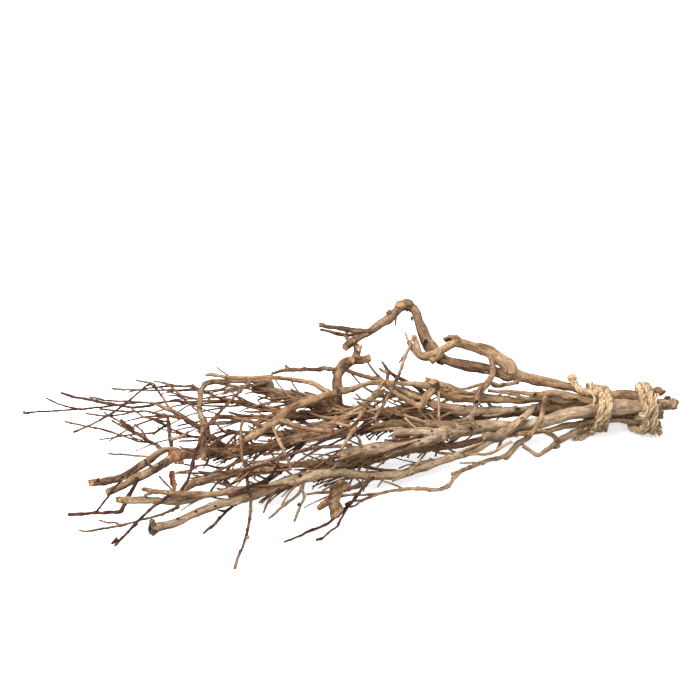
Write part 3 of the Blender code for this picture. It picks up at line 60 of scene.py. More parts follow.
camera = bpy.data.objects.new("camera", bpy.data.cameras.new("camera"))
camera.data.sensor_width = SENSOR
camera.data.lens = SENSOR * EYE_SQUARES / SHEET_WIDTH
camera.data.clip_start = 0.05
camera.data.clip_end = 20
camera.location = EYE
camera.rotation_euler = (math.pi / 2 - LOOKING_DOWN, 0, 0)
bpy.context.scene.collection.objects.link(camera)
bpy.context.scene.camera = camera


def sight(across, down):
    """Line of sight through drawn points: one metre forward, and aside in proportion."""
    aside = (np.asarray(across, float) - SHEET_MIDDLE)[..., None] / EYE_SQUARES * RIGHT
    above = (SHEET_MIDDLE - np.asarray(down, float))[..., None] / EYE_SQUARES * UP
    return FORWARD + aside + above


def placed(drawn, depth):
    """World places of drawn points at their depths: eye plus depth times line of sight."""
    return EYE + np.asarray(depth, float)[:, None] * sight(drawn[:, 0], drawn[:, 1])


# The upper limb and its hooks
# A long tan limb with thin dry bark leaves the tie at the top. It forks into a limb that arches
# back with cut stubs, and one that hooks up to the bundle's highest point and turns down again.
solids = {name: BVHTree.FromPolygons([v.co for v in solid.data.vertices],
                                     [p.vertices for p in solid.data.polygons])
          for name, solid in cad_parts.items()}
chance = np.random.default_rng(7)
grown = {}
SKIN_STEP = 1e-5
STEEPEST = 1.3
CUT_FACE = ((0.985, 0.03), (0.94, 0.075), (0.62, 0.06), (0.3, 0.045), (0.0, 0.04))
ROUNDED = ((0.94, 0.25), (0.8, 0.5), (0.52, 0.7), (0.26, 0.8), (0.0, 0.84))
THINNEST = 1.0
SUNK = ((0.9, 0.0), (0.7, 0.0), (0.5, 0.0), (0.25, 0.0), (0.0, 0.0))


def middles(node, across, down):
    """Depths where a line of sight is midway between entering a solid and leaving it."""
    ray = sight(across, down)
    stretch = np.linalg.norm(ray)
    way = Vector(ray / stretch)
    start, gone, hits = Vector(EYE), 0.0, []
    while len(hits) < 16:
        place, _, _, far = solids[node].ray_cast(start, way)
        if place is None:
            break
        gone += far
        hits.append(gone / stretch)
        start = place + way * SKIN_STEP
        gone += SKIN_STEP
    return [(a + b) / 2 for a, b in zip(hits[0::2], hits[1::2])]


def nearest_on(point, bearers):
    """Nearest place to a drawn point on the lines of the branches that may bear it."""
    best = None
    for line, depth in bearers:
        run = np.diff(line, axis=0)
        share = ((point[:2] - line[:-1, :2]) * run[:, :2]).sum(1) / (run[:, :2] ** 2).sum(1)
        share = np.clip(share, 0, 1)
        places = line[:-1] + run * share[:, None]
        far = np.hypot(*(places[:, :2] - point[:2]).T)
        k = int(np.argmin(far))
        if best is None or far[k] < best[0]:
            best = (far[k], places[k], depth[k] * (1 - share[k]) + depth[k + 1] * share[k])
    return best


def depths_along(node, route, root_depth):
    """A depth for each point of a route, followed through the node's solid from its tip."""
    options = [middles(node, u, v) for u, v, _ in route]
    if root_depth is not None:
        options[0] = [root_depth]
    depth = np.full(len(route), np.nan)
    single = [k for k, found in enumerate(options) if len(found) == 1]
    anchor = single[-1] if single else max(k for k, found in enumerate(options) if found)
    depth[anchor] = options[anchor][0]
    for order in (range(anchor - 1, -1, -1), range(anchor + 1, len(route))):
        last = anchor
        for k in order:
            step = np.hypot(*(route[k, :2] - route[last, :2]))
            near = [d for d in options[k] if abs(d - depth[last]) < (STEEPEST * step + 4) * SQUARE]
            if near or (k == 0 and root_depth is not None):
                depth[k] = min(near or options[0], key=lambda d: abs(d - depth[last]))
                last = k
    known = np.flatnonzero(~np.isnan(depth))
    steps = np.hypot(*np.diff(route[:, :2], axis=0).T)
    length = np.concatenate([[0.0], np.cumsum(steps)])
    return np.interp(length, length[known], depth[known])


def smooth_line(knots, spacing):
    """Cubic curve through the knots, whose slope at each is the mean of its two chords'."""
    chord = np.maximum(np.linalg.norm(np.diff(knots[:, :3], axis=0), axis=1), 1e-6)
    at = np.concatenate([[0.0], np.cumsum(chord)])
    slope = np.diff(knots, axis=0) / chord[:, None]
    lean = np.vstack([slope[:1], (slope[:-1] * chord[1:, None] + slope[1:] * chord[:-1, None])
                      / (chord[1:] + chord[:-1])[:, None], slope[-1:]])
    wanted = np.linspace(0, at[-1], max(int(at[-1] / spacing), 6))
    k = np.clip(np.searchsorted(at, wanted, "right") - 1, 0, len(chord) - 1)
    t = ((wanted - at[k]) / chord[k])[:, None]
    h = chord[k][:, None]
    return (knots[k] * (1 + 2 * t) * (1 - t) ** 2 + lean[k] * h * t * (1 - t) ** 2
            + knots[k + 1] * t * t * (3 - 2 * t) + lean[k + 1] * h * t * t * (t - 1)), wanted


def ripple(along, around, waves):
    """Sum of waves, each with its own turns round the stem and its own length along it."""
    total = np.zeros(np.broadcast(along, around).shape)
    for turns, wavelength, height in waves:
        bend = 0.8 * np.sin(along / wavelength * 2.3 + chance.uniform(0, 6.28))
        total += height * np.sin(turns * around + along / wavelength * 6.28
                                 + bend + chance.uniform(0, 6.28))
    return total


def frame_of(line):
    """Unit tangents of a line and two unit sides, taken from the direction it spans least."""
    along = np.gradient(line, axis=0)
    along /= np.linalg.norm(along, axis=1)[:, None]
    _, _, axes = np.linalg.svd(along, full_matrices=False)
    side = np.cross(along, axes[-1])
    side /= np.linalg.norm(side, axis=1)[:, None]
    return along, side, np.cross(along, side)


def closed_tube(rings, first, last, sides, offset):
    """Faces of a tube of rings that ends in a point at both ends, from a first vertex on."""
    around = np.arange(sides)
    ring = offset + 1 + np.arange(rings)[:, None] * sides + around
    after = np.roll(ring, -1, axis=1)
    quads = np.stack([ring[:-1], after[:-1], after[1:], ring[1:]], -1).reshape(-1, 4)
    head = np.stack([np.full(sides, first), after[0], ring[0]], -1)
    tail = np.stack([np.full(sides, last), ring[-1], after[-1]], -1)
    return quads, np.vstack([head, tail])


def woody(line, wide, start, end, sides, rough, buds, knots):
    """Places, grain and tint of one stem.

    Each ring is its middle plus its radius times one turn round, and the radius swells
    with long ripples, at buds and knots, and where the stem leaves its bearer.
    """
    rings = len(line)
    length = np.concatenate([[0.0], np.cumsum(np.linalg.norm(np.diff(line, axis=0), axis=1))])
    along, side, other = frame_of(line)
    mean = float(np.mean(wide))
    fade = np.clip(length / (6 * mean), 0, 1) * np.clip((length[-1] - length) / (4 * mean), 0, 1)
    for way in (side, other):
        sway = ripple(length, 0.0, ((0, 26 * mean, 0.16), (0, 11 * mean, 0.09), (0, 5 * mean, 0.045)))
        line = line + way * (sway * mean * fade)[:, None]
    wide = wide * (1 + ripple(length, 0.0, ((0, 13 * mean, 0.05), (0, 5 * mean, 0.035))))
    if start is SUNK:
        wide = wide * (1 + 0.45 * np.exp(-length / (1.7 * wide[0])))
    turn = np.linspace(0, 2 * np.pi, sides, endpoint=False)[None, :]
    s = length[:, None]
    swell = ripple(s, turn, ((1, 17 * mean, 0.8), (2, 15 * mean, 0.8), (3, 7 * mean, 0.6), (5, 11 * mean, 0.3),
                             (2, 3.1 * mean, 0.45), (4, 2.1 * mean, 0.35), (9, 6 * mean, 0.2))) * rough
    # Painted shade: the tint's red darkens the sunken parts of the bark's ripples, where shade falls; the buds and knot
    # scars below add their own real dark.
    dark = np.clip(-swell / rough * 0.16, 0, 0.4) if rough else np.zeros((rings, sides))
    peel = np.zeros((rings, sides))
    for place, angle, height, reach in buds:
        bump = np.exp(-((s - place) / (reach * mean)) ** 2 - (2 * np.sin((turn - angle) / 2) / 0.8) ** 2)
        swell = swell + height * bump + 0.12 * np.exp(-((s - place) / (0.8 * reach * mean)) ** 2)
        dark = dark + 0.7 * bump
    for place, angle, height, reach in knots:
        gap = ((s - place) / (reach * mean)) ** 2 + (2 * np.sin((turn - angle) / 2) / (0.55 * reach)) ** 2
        swell = swell + height * np.exp(-gap) - 0.55 * height * np.exp(-gap * 5)
        dark = dark + 0.95 * np.exp(-gap * 3.2)
        peel = peel + 0.5 * np.exp(-((np.sqrt(gap) - 1.1) / 0.35) ** 2)
    arm = np.cos(turn)[..., None] * side[:, None] + np.sin(turn)[..., None] * other[:, None]
    reach_out = wide[:, None] * (1 + swell)
    body = line[:, None] + arm * reach_out[..., None]
    grain = np.stack([np.cos(turn) * wide[:, None], np.sin(turn) * wide[:, None],
                      np.broadcast_to(s, swell.shape)], -1)
    tint = np.stack([np.clip(dark, 0, 1), np.zeros_like(dark), np.clip(peel, 0, 1), np.ones_like(dark)], -1)
    ends = []
    for ring, kind, sense in ((0, start, -1.0), (rings - 1, end, 1.0)):
        torn = ripple(0.0, turn, ((1, 1, 0.22), (2, 1, 0.18), (4, 1, 0.12), (7, 1, 0.09)))[0]
        places, face = [], []
        for share, push in kind:
            rim = body[ring] - line[ring]
            ragged = torn * (0.8 if kind is CUT_FACE else 0.0) * min(1.0, 3 * share)
            pushed = (push + ragged * 0.6) * wide[ring] * sense
            places.append(line[ring] + rim * share + along[ring] * np.reshape(pushed, (-1, 1)))
            face.append(np.full(sides, 0.9 if kind is CUT_FACE and share < 0.96 else 0.0))
        places, face = np.array(places), np.array(face)
        cover = np.broadcast_to(grain[ring], places.shape).copy()
        cover[..., :2] *= np.array([share for share, _ in kind])[:, None, None]
        shade = np.broadcast_to(tint[ring], (len(kind), sides, 4)).copy()
        shade[..., 1] = face
        shade[..., 0] *= 1 - face
        ends.append((places, cover, shade))
    (p0, g0, t0), (p1, g1, t1) = ends
    rings_in = [np.concatenate([a[-2::-1], b, c[:-1]]) for a, b, c in ((p0, body, p1), (g0, grain, g1), (t0, tint, t1))]
    poles = [(a[-1].mean(0), b[-1].mean(0)) for a, b in ((p0, p1), (g0, g1), (t0, t1))]
    return rings_in, poles


def make_mesh(name, places, quads, triangles, grain, tint, material):
    """A named object with its faces, and its grain and tint as attributes of its points."""
    places[:, 2] = np.maximum(places[:, 2], 0.0)
    mesh = bpy.data.meshes.new(name)
    mesh.from_pydata(places.tolist(), [], quads.tolist() + triangles.tolist())
    mesh.attributes.new("grain", "FLOAT_VECTOR", "POINT").data.foreach_set(
        "vector", grain.astype(np.float32).ravel())
    mesh.attributes.new("tint", "FLOAT_COLOR", "POINT").data.foreach_set(
        "color", tint.astype(np.float32).ravel())
    mesh.shade_smooth()
    mesh.materials.append(material)
    made = bpy.data.objects.new(name, mesh)
    bpy.context.scene.collection.objects.link(made)
    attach(made, "root")
    return made


def assemble(name, stems, material):
    """One mesh of several stems, each given by its rings, its poles and its sides."""
    places, quads, triangles, grain, tint = [], [], [], [], []
    offset = 0
    for (body, cover, shade), poles, sides in stems:
        rings = len(body)
        last = offset + 1 + rings * sides
        faces, fans = closed_tube(rings, offset, last, sides, offset)
        quads.append(faces)
        triangles.append(fans)
        for kept, whole, (head, tail) in ((places, body, poles[0]), (grain, cover, poles[1]), (tint, shade, poles[2])):
            kept += [head[None], whole.reshape(-1, whole.shape[-1]), tail[None]]
        offset = last + 1
    stacked = [np.concatenate(x) for x in (places, quads, triangles, grain, tint)]
    return make_mesh(name, *stacked, material)


def stem_parts(node, route, root_depth, free_end, start, knots=()):
    """One stem along its drawn route, with how fine its rings are by how thick it is."""
    depth = depths_along(node, route, root_depth)
    radii = route[:, 2] / EYE_SQUARES * depth
    return solid_stem(placed(route, depth), radii, free_end, start, knots), depth


def solid_stem(places, radii, free_end, start, knots=()):
    """One stem along world places, with buds if it is thin and knots if it is thick."""
    widest = radii.max() / SQUARE
    sides = 32 if widest > 4.4 else 24 if widest > 2.4 else 14 if widest > 1.4 else 8
    spacing = max(0.0009, 0.3 * float(radii.mean()))
    line, _ = smooth_line(np.column_stack([places, radii]), spacing)
    run = float(np.linalg.norm(np.diff(line[:, :3], axis=0), axis=1).sum())
    thin = widest < 2.6
    buds, scars = [], []
    if thin:
        at = chance.uniform(0.004, 0.012)
        while at < run - 0.002:
            buds.append((at, chance.uniform(0, 6.28), chance.uniform(0.25, 0.75), chance.uniform(0.9, 1.5)))
            at += chance.uniform(0.007, 0.017)
    else:
        at = chance.uniform(0.01, 0.03)
        while at < run - 0.005:
            scars.append((at, chance.uniform(0, 6.28), chance.uniform(0.12, 0.3), chance.uniform(0.5, 1.0)))
            at += chance.uniform(0.018, 0.045)
    scars += [(share * run, angle, height, reach) for share, angle, height, reach in knots]
    rough = 0.05 if widest > 4.4 else 0.06 if widest > 2.4 else 0.05
    rings, poles = woody(line[:, :3], np.maximum(line[:, 3], 0.00025), start, free_end, sides, rough, buds, scars)
    shift = chance.uniform(-1, 1, 3)
    rings[1] = rings[1] + shift
    poles[1] = tuple(pole + shift for pole in poles[1])
    return rings, poles, sides


def branch(node, material, route, grows_from=None, twigs=(), tip=None, butt=CUT_FACE, knots=(), pale=None,
           aged_twigs=0.0):
    """Dresses one node: its stem and the twigs that are one piece with it."""
    stems = []
    grown.setdefault(node, [])
    for number, drawn in enumerate([route, *twigs]):
        drawn = np.array(drawn, float)
        drawn[:, 2] = np.maximum(drawn[:, 2], THINNEST)
        bearers = grown[node] if number else grown.get(grows_from, [])
        start, root_depth = butt, None
        if bearers:
            far, place, root_depth = nearest_on(drawn[0], bearers)
            root = [place[0], place[1], min(drawn[0, 2], place[2] * 0.9)]
            drawn = np.vstack([root, drawn[1:] if far < 1.2 else drawn])
            start = SUNK
        end = tip if tip and not number else ROUNDED if drawn[-1, 2] < 1.2 else CUT_FACE
        stem, depth = stem_parts(node, drawn, root_depth, end, start, () if number else knots)
        if pale and not number:
            share = np.linspace(0, 1, len(stem[0][0]))[:, None]
            stem[0][2][..., 2] = np.maximum(stem[0][2][..., 2], np.clip((share - pale[0]) / (pale[1] - pale[0]), 0, 0.85))
        if number:
            stem[0][2][..., 0] = np.maximum(stem[0][2][..., 0], aged_twigs)
        grown[node].append((drawn, depth))
        stems.append(stem)
    made = assemble(node + "_bark", stems, material)
    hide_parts(node)
    return made


def wired(tree, kind, settings=(), **feeds):
    """Adds a shader node; a feed is another node's output or the socket's own value."""
    made = tree.nodes.new(kind)
    for name, value in settings:
        setattr(made, name, value)
    for name, feed in feeds.items():
        socket = made.inputs[int(name[1:])] if name[0] == "n" and name[1:].isdigit() else made.inputs[name]
        if isinstance(feed, bpy.types.NodeSocket):
            tree.links.new(feed, socket)
        else:
            socket.default_value = feed
    return made


def grain_noise(tree, scale, stretch, detail=3.0, roughness=0.6, lean=0.0):
    """Noise on the stem's own grain, whose marks run along it by one over the stretch."""
    grain = wired(tree, "ShaderNodeAttribute", [("attribute_name", "grain")])
    laid = wired(tree, "ShaderNodeMapping", Vector=grain.outputs["Vector"], Scale=(1, 1, stretch),
                 Rotation=(lean, 0, 0))
    return wired(tree, "ShaderNodeTexNoise", Vector=laid.outputs[0], Scale=scale, Detail=detail,
                 Roughness=roughness).outputs["Fac"]


def ramp(tree, amount, stops):
    """Colour ramp through stops of (place, colour)."""
    made = wired(tree, "ShaderNodeValToRGB", Fac=amount)
    points = made.color_ramp.elements
    while len(points) < len(stops):
        points.new(0.5)
    for point, (place, color) in zip(points, stops):
        point.position = place
        point.color = (*color, 1)
    return made.outputs["Color"]


def mixed(tree, amount, first, second, blend="MIX"):
    """The second colour laid over the first by an amount."""
    return wired(tree, "ShaderNodeMix", [("data_type", "RGBA"), ("blend_type", blend)],
                 n0=amount, n6=first, n7=second).outputs[2]


def scaled(tree, amount, low, high, top=1.0):
    """An amount spread from 0 to the top between two of its values."""
    return wired(tree, "ShaderNodeMapRange", n0=amount, n1=low, n2=high, n3=0.0, n4=top).outputs[0]


def bark_material(name, slot, shadow, middle, light, pale, scar_and_shade, cut, relief=1.0):
    """Dry bark: mottled along the stem, with fine fibres, specks, bare patches, cut faces and painted shade in its
    grooves.
    """
    material = bpy.data.materials.new(name)
    material["slot"] = slot
    material.use_nodes = True
    tree = material.node_tree
    shader = tree.nodes["Principled BSDF"]
    shader.inputs["Roughness"].default_value = 0.86
    shader.inputs["Specular IOR Level"].default_value = 0.22
    mottle = grain_noise(tree, 330, 0.5, 4.0, 0.68)
    blotch = grain_noise(tree, 62, 0.55, 3.0, 0.55)
    fibre = grain_noise(tree, 1100, 0.07, 3.0, 0.7)
    streak = grain_noise(tree, 420, 0.09, 3.0, 0.65)
    crack = grain_noise(tree, 560, 0.05, 2.0, 0.5)
    speck = grain_noise(tree, 760, 0.75, 2.0, 0.6)
    tint = wired(tree, "ShaderNodeAttribute", [("attribute_name", "tint")])
    parts = wired(tree, "ShaderNodeSeparateColor", Color=tint.outputs["Color"]).outputs
    tone = wired(tree, "ShaderNodeMath", [("operation", "MULTIPLY_ADD")], n0=blotch, n1=0.55,
                 n2=wired(tree, "ShaderNodeMath", [("operation", "MULTIPLY")], n0=mottle, n1=0.5).outputs[0]).outputs[0]
    color = ramp(tree, tone, [(0.38, shadow), (0.47, middle), (0.56, light), (0.68, pale)])
    color = mixed(tree, scaled(tree, streak, 0.5, 0.64, 0.6), color, (0.60, 0.50, 0.42, 1), "MULTIPLY")
    color = mixed(tree, scaled(tree, fibre, 0.5, 0.7, 0.35), color, (0.55, 0.45, 0.38, 1), "MULTIPLY")
    color = mixed(tree, scaled(tree, fibre, 0.45, 0.3, 0.35), color, (*pale, 1))
    color = mixed(tree, scaled(tree, crack, 0.6, 0.66, 0.75), color, (*scar_and_shade, 1))
    color = mixed(tree, scaled(tree, speck, 0.585, 0.67, 0.8), color, (*scar_and_shade, 1))
    color = mixed(tree, parts["Blue"], color, (*pale, 1))
    # The tint's red mixes in the darkest colour: painted shade in the sunken grooves of the bark, and the real dark of
    # buds, knot scars and knots.
    color = mixed(tree, scaled(tree, parts["Red"], 0.0, 0.95, 0.97), color, (*scar_and_shade, 1))
    rings = grain_noise(tree, 700, 1.0, 2.0)
    face = mixed(tree, scaled(tree, rings, 0.35, 0.7, 0.8), (*cut, 1), (*middle, 1))
    color = mixed(tree, parts["Green"], color, face)
    tree.links.new(color, shader.inputs["Base Color"])
    height = wired(tree, "ShaderNodeMath", [("operation", "ADD")], n0=fibre, n1=streak).outputs[0]
    height = wired(tree, "ShaderNodeMath", [("operation", "MULTIPLY_ADD")], n0=speck, n1=-0.6, n2=height).outputs[0]
    bump = wired(tree, "ShaderNodeBump", Height=height, Strength=0.5, Distance=0.0007 * relief)
    tree.links.new(bump.outputs[0], shader.inputs["Normal"])
    return material


tan_bark = bark_material(
    "tan bark", "tan_bark", shadow=(0.16, 0.080, 0.038), middle=(0.31, 0.186, 0.100), light=(0.42, 0.272, 0.153),
    pale=(0.57, 0.41, 0.262), scar_and_shade=(0.05, 0.023, 0.012), cut=(0.60, 0.31, 0.13))
weathered_bark = bark_material(
    "weathered bark", "tan_bark", shadow=(0.09, 0.045, 0.022), middle=(0.21, 0.12, 0.066), light=(0.30, 0.188, 0.108),
    pale=(0.48, 0.34, 0.215), scar_and_shade=(0.025, 0.012, 0.008), cut=(0.60, 0.31, 0.13))
branch("upper_limb", tan_bark, [
    (661, 391, 4.6), (652, 393, 4.6), (642, 395, 5.2), (630, 395, 5.9), (618, 396, 5.4),
    (606, 397.5, 4.2), (596, 397, 4), (586, 393.5, 4.2), (574, 388, 4.3), (560, 384.8, 4.6),
    (540, 380.3, 5.4), (522, 376.6, 5.8), (509, 373, 7.2)], twigs=[
    [(517, 381, 1.8), (505, 385, 2.1), (498, 385.5, 2.2), (490, 382.8, 1.8), (478, 385, 1.8),
    (468, 388, 1.6), (458, 389.5, 1.5)]])
branch("hook_branch", weathered_bark, [
    (508, 374, 5.4), (500, 373, 4.6), (490, 369.5, 4.8), (480, 367.5, 5.6), (470, 366.5, 5.8),
    (460, 364.5, 5.2), (450, 362, 4.8), (441, 358.5, 5)], "upper_limb")
branch("upper_fork", tan_bark, [
    (509, 369, 6.2), (504, 363, 6.3), (497, 357.5, 6), (490, 351.5, 6), (482, 349, 5.8),
    (470, 346, 4.6), (462, 342.8, 5), (455, 342.5, 4.8), (447, 346, 4.2), (440, 349.5, 3.9),
    (431, 354.5, 4.6), (422, 355.5, 4.4), (415, 350.5, 3.8), (410, 344, 3), (408.5, 341, 2.4)], "upper_limb", twigs=[
    [(457, 341, 4.2), (448, 338.5, 3.6)],
    [(419, 353, 3), (417, 344, 2.6), (413.5, 336.5, 2.6)],
    [(410, 342, 1.2), (405.5, 333.5, 0.8)],
    [(440, 353, 3.2), (431.5, 362.5, 2.6)]])
branch("hanging_arc", weathered_bark, [
    (488, 351, 3), (490, 355, 3.1), (492.5, 362, 3.2), (493, 370, 3.1), (491, 377, 3.1),
    (487, 383, 3.4), (482, 389, 3.8), (477.5, 397, 3.8), (475.5, 405, 2.9), (472.5, 413, 2.7),
    (471.5, 419, 2.4), (475, 426, 2), (481, 431, 1.6)], "upper_fork")
branch("hook_upright", weathered_bark, [
    (440, 357, 5), (436, 353, 5.8), (430, 345, 6.2), (426, 338, 5.8), (422, 329, 5), (418.5, 320, 4.8),
    (415, 311, 4.8), (410, 306, 5)], "hook_branch")
branch("hook_arm", weathered_bark, [
    (408, 305, 4.6), (402, 306, 4.8), (396, 311.5, 4.4), (390, 317, 4.6), (380, 323.8, 4.4),
    (371, 330.3, 3.9), (360, 336.5, 3.8), (350, 343.5, 3.9), (345, 347, 3.7)], "hook_upright", twigs=[
    [(372, 330, 1.5), (360, 329.6, 1.3), (351, 328.5, 1.3), (334, 326.4, 1.2), (321, 324.4, 0.9)],
    [(366, 334, 1.4), (355, 334, 1.3), (349, 334.6, 1.2), (335, 332, 1.1), (320, 329.5, 0.8)],
    [(397, 312, 1.4), (395.5, 325, 0.9)]])


# The lower limb
# A tan limb under the upper one, tied beside it, that thins out to the left.
branch("lower_limb", tan_bark, [
    (650, 402, 3), (625, 402, 3), (606, 402.5, 3.4), (596, 402, 3.6), (588, 401, 3.8), (575, 396.5, 4),
    (560, 394, 4.2), (548, 394.5, 3.8), (540, 394.8, 3.2), (534.5, 394.5, 3), (525, 393.2, 2.3),
    (510, 391.7, 2), (500, 391, 2), (488, 390.5, 1.8)])


# The gnarled stem
# A twisted old stem whose thick head splits into a long diagonal limb, stubs and fine twigs.
branch("gnarled_stem", tan_bark, [
    (663, 415, 4.4), (650, 413, 4.2), (630, 409.5, 4), (606, 405.5, 3.8), (585, 403, 3.8),
    (565, 401, 3.4), (545, 399.5, 2.6), (525, 400, 2.8), (515, 399.7, 3.3), (505, 398.7, 4.2),
    (492, 398.6, 4.5), (480, 398.3, 4.8), (467, 397.3, 5.8), (455, 395.5, 7.6), (444, 390.5, 8),
    (436, 387, 6.5), (430, 386, 4.6)], twigs=[
    [(433, 388, 4), (426, 397, 3.6), (421.6, 406, 3.2), (419.5, 409, 2.4)],
    [(433, 384, 1.8), (426, 378, 1.6)],
    [(439, 394, 1.5), (438.8, 405, 1.3), (439, 418, 1.3), (439.6, 432, 1.1)]])
branch("diagonal_stem", tan_bark, [
    (431, 386, 3.2), (425, 385.8, 3.3), (412, 384, 2.9), (396, 383.4, 2.3), (382, 382.5, 2.5),
    (370, 382.6, 2.5), (360, 385.8, 2.7), (350, 390, 3.4), (340, 391.3, 3.6), (328, 394.5, 3.4),
    (318, 398, 3.6), (308, 401.8, 4), (298, 405.3, 4), (290, 409, 4), (281, 416.5, 4),
    (271, 424.5, 4.3), (260, 431, 4), (250, 437, 3.4), (243, 441, 2.8)], "gnarled_stem")
branch("top_twig", tan_bark, [
    (328, 394, 2.6), (325, 391.5, 2.7), (320, 387.5, 2.9), (315, 384, 2.6), (308, 381.3, 2.4),
    (295, 379.8, 2.3), (280, 378.3, 2.3), (266, 377.3, 2.3), (250, 377.8, 2.2), (235, 377.3, 1.9),
    (220, 376.3, 1.9), (209, 374.5, 1.8), (205.5, 375.5, 1.2)], "diagonal_stem")
branch("crossing_stem", tan_bark, [
    (422, 405.5, 2.4), (417, 404.5, 2.4), (411, 401.7, 2.6), (402, 398, 2.6), (396, 394, 2.5),
    (391, 388.5, 2.1), (388.5, 384, 1.6)], "gnarled_stem")
branch("pale_twig", tan_bark, [
    (384, 382.5, 1.9), (382, 385, 1.9), (376, 391.5, 1.9), (371, 398, 2), (366, 406, 2), (362, 413, 2),
    (358, 420.5, 2), (354, 428.5, 2), (349.5, 436, 1.9), (345, 443, 1.8), (341, 449.5, 1.5)], "diagonal_stem")
branch("small_pale_twig", tan_bark, [
    (272, 426, 1.5), (274, 430, 1.5), (276.5, 436, 1.6), (280, 443, 1.6), (283.5, 450, 1.7),
    (286, 456, 1.6), (289, 463, 1.5), (291, 470, 1.4)], "diagonal_stem")


# The middle and low stems
# The straight stem in the middle of the tie, broken off short over the long low stem, whose cut
# butt lies nearest the viewer. Low forks and long trailing twigs grow from it.
red_bark = bark_material(
    "red bark", "red_bark", shadow=(0.026, 0.010, 0.007), middle=(0.068, 0.025, 0.014), light=(0.12, 0.046, 0.027),
    pale=(0.30, 0.16, 0.10), scar_and_shade=(0.014, 0.007, 0.005), cut=(0.40, 0.22, 0.11), relief=0.5)
pale_bark = bark_material(
    "pale bark", "tan_bark", shadow=(0.21, 0.125, 0.068), middle=(0.36, 0.24, 0.142), light=(0.48, 0.345, 0.22),
    pale=(0.62, 0.50, 0.36), scar_and_shade=(0.06, 0.032, 0.02), cut=(0.60, 0.34, 0.15))
branch("middle_stem", pale_bark, [
    (648, 407, 3.4), (625, 407, 3.4), (606, 408, 3.6), (585, 407.5, 4), (570, 406.5, 4.6),
    (558, 406, 6), (549, 406, 6.4), (541, 407, 4.8), (533, 408.3, 3.4), (517, 408.7, 3),
    (505, 409.3, 3.3), (490, 410.2, 3.7), (480, 411, 4.3), (470, 411.3, 5), (460, 411.2, 5.4),
    (450, 409.8, 5.4), (440, 407, 4.8), (432, 403.5, 4.2), (429.5, 402, 3.8)])
branch("low_stem", pale_bark, [
    (534, 409, 3), (529, 412.5, 3.2), (524, 417, 3.6), (518, 422, 4), (508, 430, 4.6),
    (498, 436.5, 4.8), (490, 440.5, 4), (481, 446, 3.6), (470, 451.5, 3.6), (460, 455.5, 3.4),
    (450, 458.5, 3.7), (440, 461.8, 4), (430, 465.3, 4.1), (420, 468.8, 4.2), (410, 472, 4.4),
    (398, 474.3, 4.5), (385, 475, 4.5), (371, 476, 4.2), (357, 474, 4.2), (343, 472.3, 4.5),
    (330, 473, 4.6), (318, 475, 5), (305, 478, 5), (294, 481, 5), (282, 484.5, 5), (270, 488.3, 5),
    (258, 492.3, 4.8), (246, 497.5, 4.8), (234, 501.5, 4.4), (220, 504.3, 4.2), (200, 511.5, 4),
    (180, 519.5, 4.2), (165, 525.3, 4.2), (156, 528, 5), (150.5, 528.3, 7)], "middle_stem", twigs=[
    [(497, 437, 3.8), (484, 436.5, 3.8)],
    [(303, 480, 1.8), (301, 490, 1.6), (293, 498.5, 1.4), (287, 502.5, 1.6), (282, 507, 1.4),
    (276, 513, 1.3), (269, 518.4, 1.2)],
    [(301, 488, 1.5), (304, 497, 1.4), (300, 507, 1.3), (296, 517, 1.5), (294, 521.6, 1.2)]], aged_twigs=0.5)
branch("trailing_twig", red_bark, [
    (374, 475, 1.5), (372, 479, 1.5), (366, 484, 1.6), (361, 490, 1.5), (356, 497, 1.6),
    (351, 503.5, 1.7), (346, 508, 1.6), (340, 513.5, 1.5), (333, 519, 1.4), (326, 524.5, 1.4),
    (318, 528, 1.3), (309, 531, 1.5), (300, 535.5, 1.2), (292, 539, 1.1), (284, 542, 0.9)], "low_stem", twigs=[
    [(349, 506, 1.2), (345, 512, 1.1), (341, 519, 1.1), (337, 526, 1.2), (330, 531, 1.1),
    (323, 537.5, 1.2), (316, 539.8, 1.5)]])
branch("low_fork", tan_bark, [
    (264, 490, 2.6), (256, 488.8, 2.6), (245, 488.3, 2.8), (235, 489.3, 3), (226, 491.8, 3.2),
    (216, 494.3, 2.8), (205, 495, 2.8), (193, 495, 3.4), (180, 494, 3.2), (168, 492.5, 2.8),
    (156, 490.7, 2.6), (148, 489.5, 2.4), (142, 489, 1.4)], "low_stem", twigs=[
    [(154, 491, 1.8), (144, 496, 1.4)]])
branch("low_fork_lower", pale_bark, [
    (204, 495.5, 2.6), (192, 499, 3), (180, 501, 3.3), (165, 501.3, 3.4), (150, 500.8, 3.6),
    (137, 500.3, 3.6), (125, 500, 3.5), (116, 499.6, 3.1)], "low_fork")
branch("forked_twig", tan_bark, [
    (547, 402, 2.2), (545.5, 399, 2.2), (544, 406, 2.3), (542, 413, 2.3), (540.5, 420, 2.2),
    (537, 427, 2.2), (532, 433, 2.4), (525, 439, 2.5), (517.5, 444, 3), (513, 449, 2.8),
    (509, 454, 2.8), (505.5, 459, 2.1)], "middle_stem")
branch("long_low_twig", tan_bark, [
    (509.5, 453, 1.9), (505, 456, 2.1), (498, 458, 2), (488, 460.3, 1.9), (478, 464, 1.9),
    (468, 468, 2), (460, 471.8, 2.1), (456, 475.5, 1.9), (451.5, 481.5, 1.8), (447, 487, 2.2),
    (441, 489, 1.9), (427, 489, 1.9), (411, 488.8, 1.8), (400, 489.8, 1.7), (390, 491.3, 1.5),
    (378, 493.5, 1.4), (362, 495, 1.2), (343, 494.5, 1.2), (328, 492.5, 1.2), (316, 493.3, 1.3),
    (307, 494.2, 1.1)], "forked_twig", twigs=[
    [(459, 472.5, 1.8), (451, 474, 1.8)],
    [(384, 493, 1.2), (371, 497, 1.2), (360, 502, 1.1), (356, 505, 1.2), (350, 507.2, 0.9)],
    [(405, 488.9, 1.1), (393, 484.3, 1), (381, 480, 0.7)]])
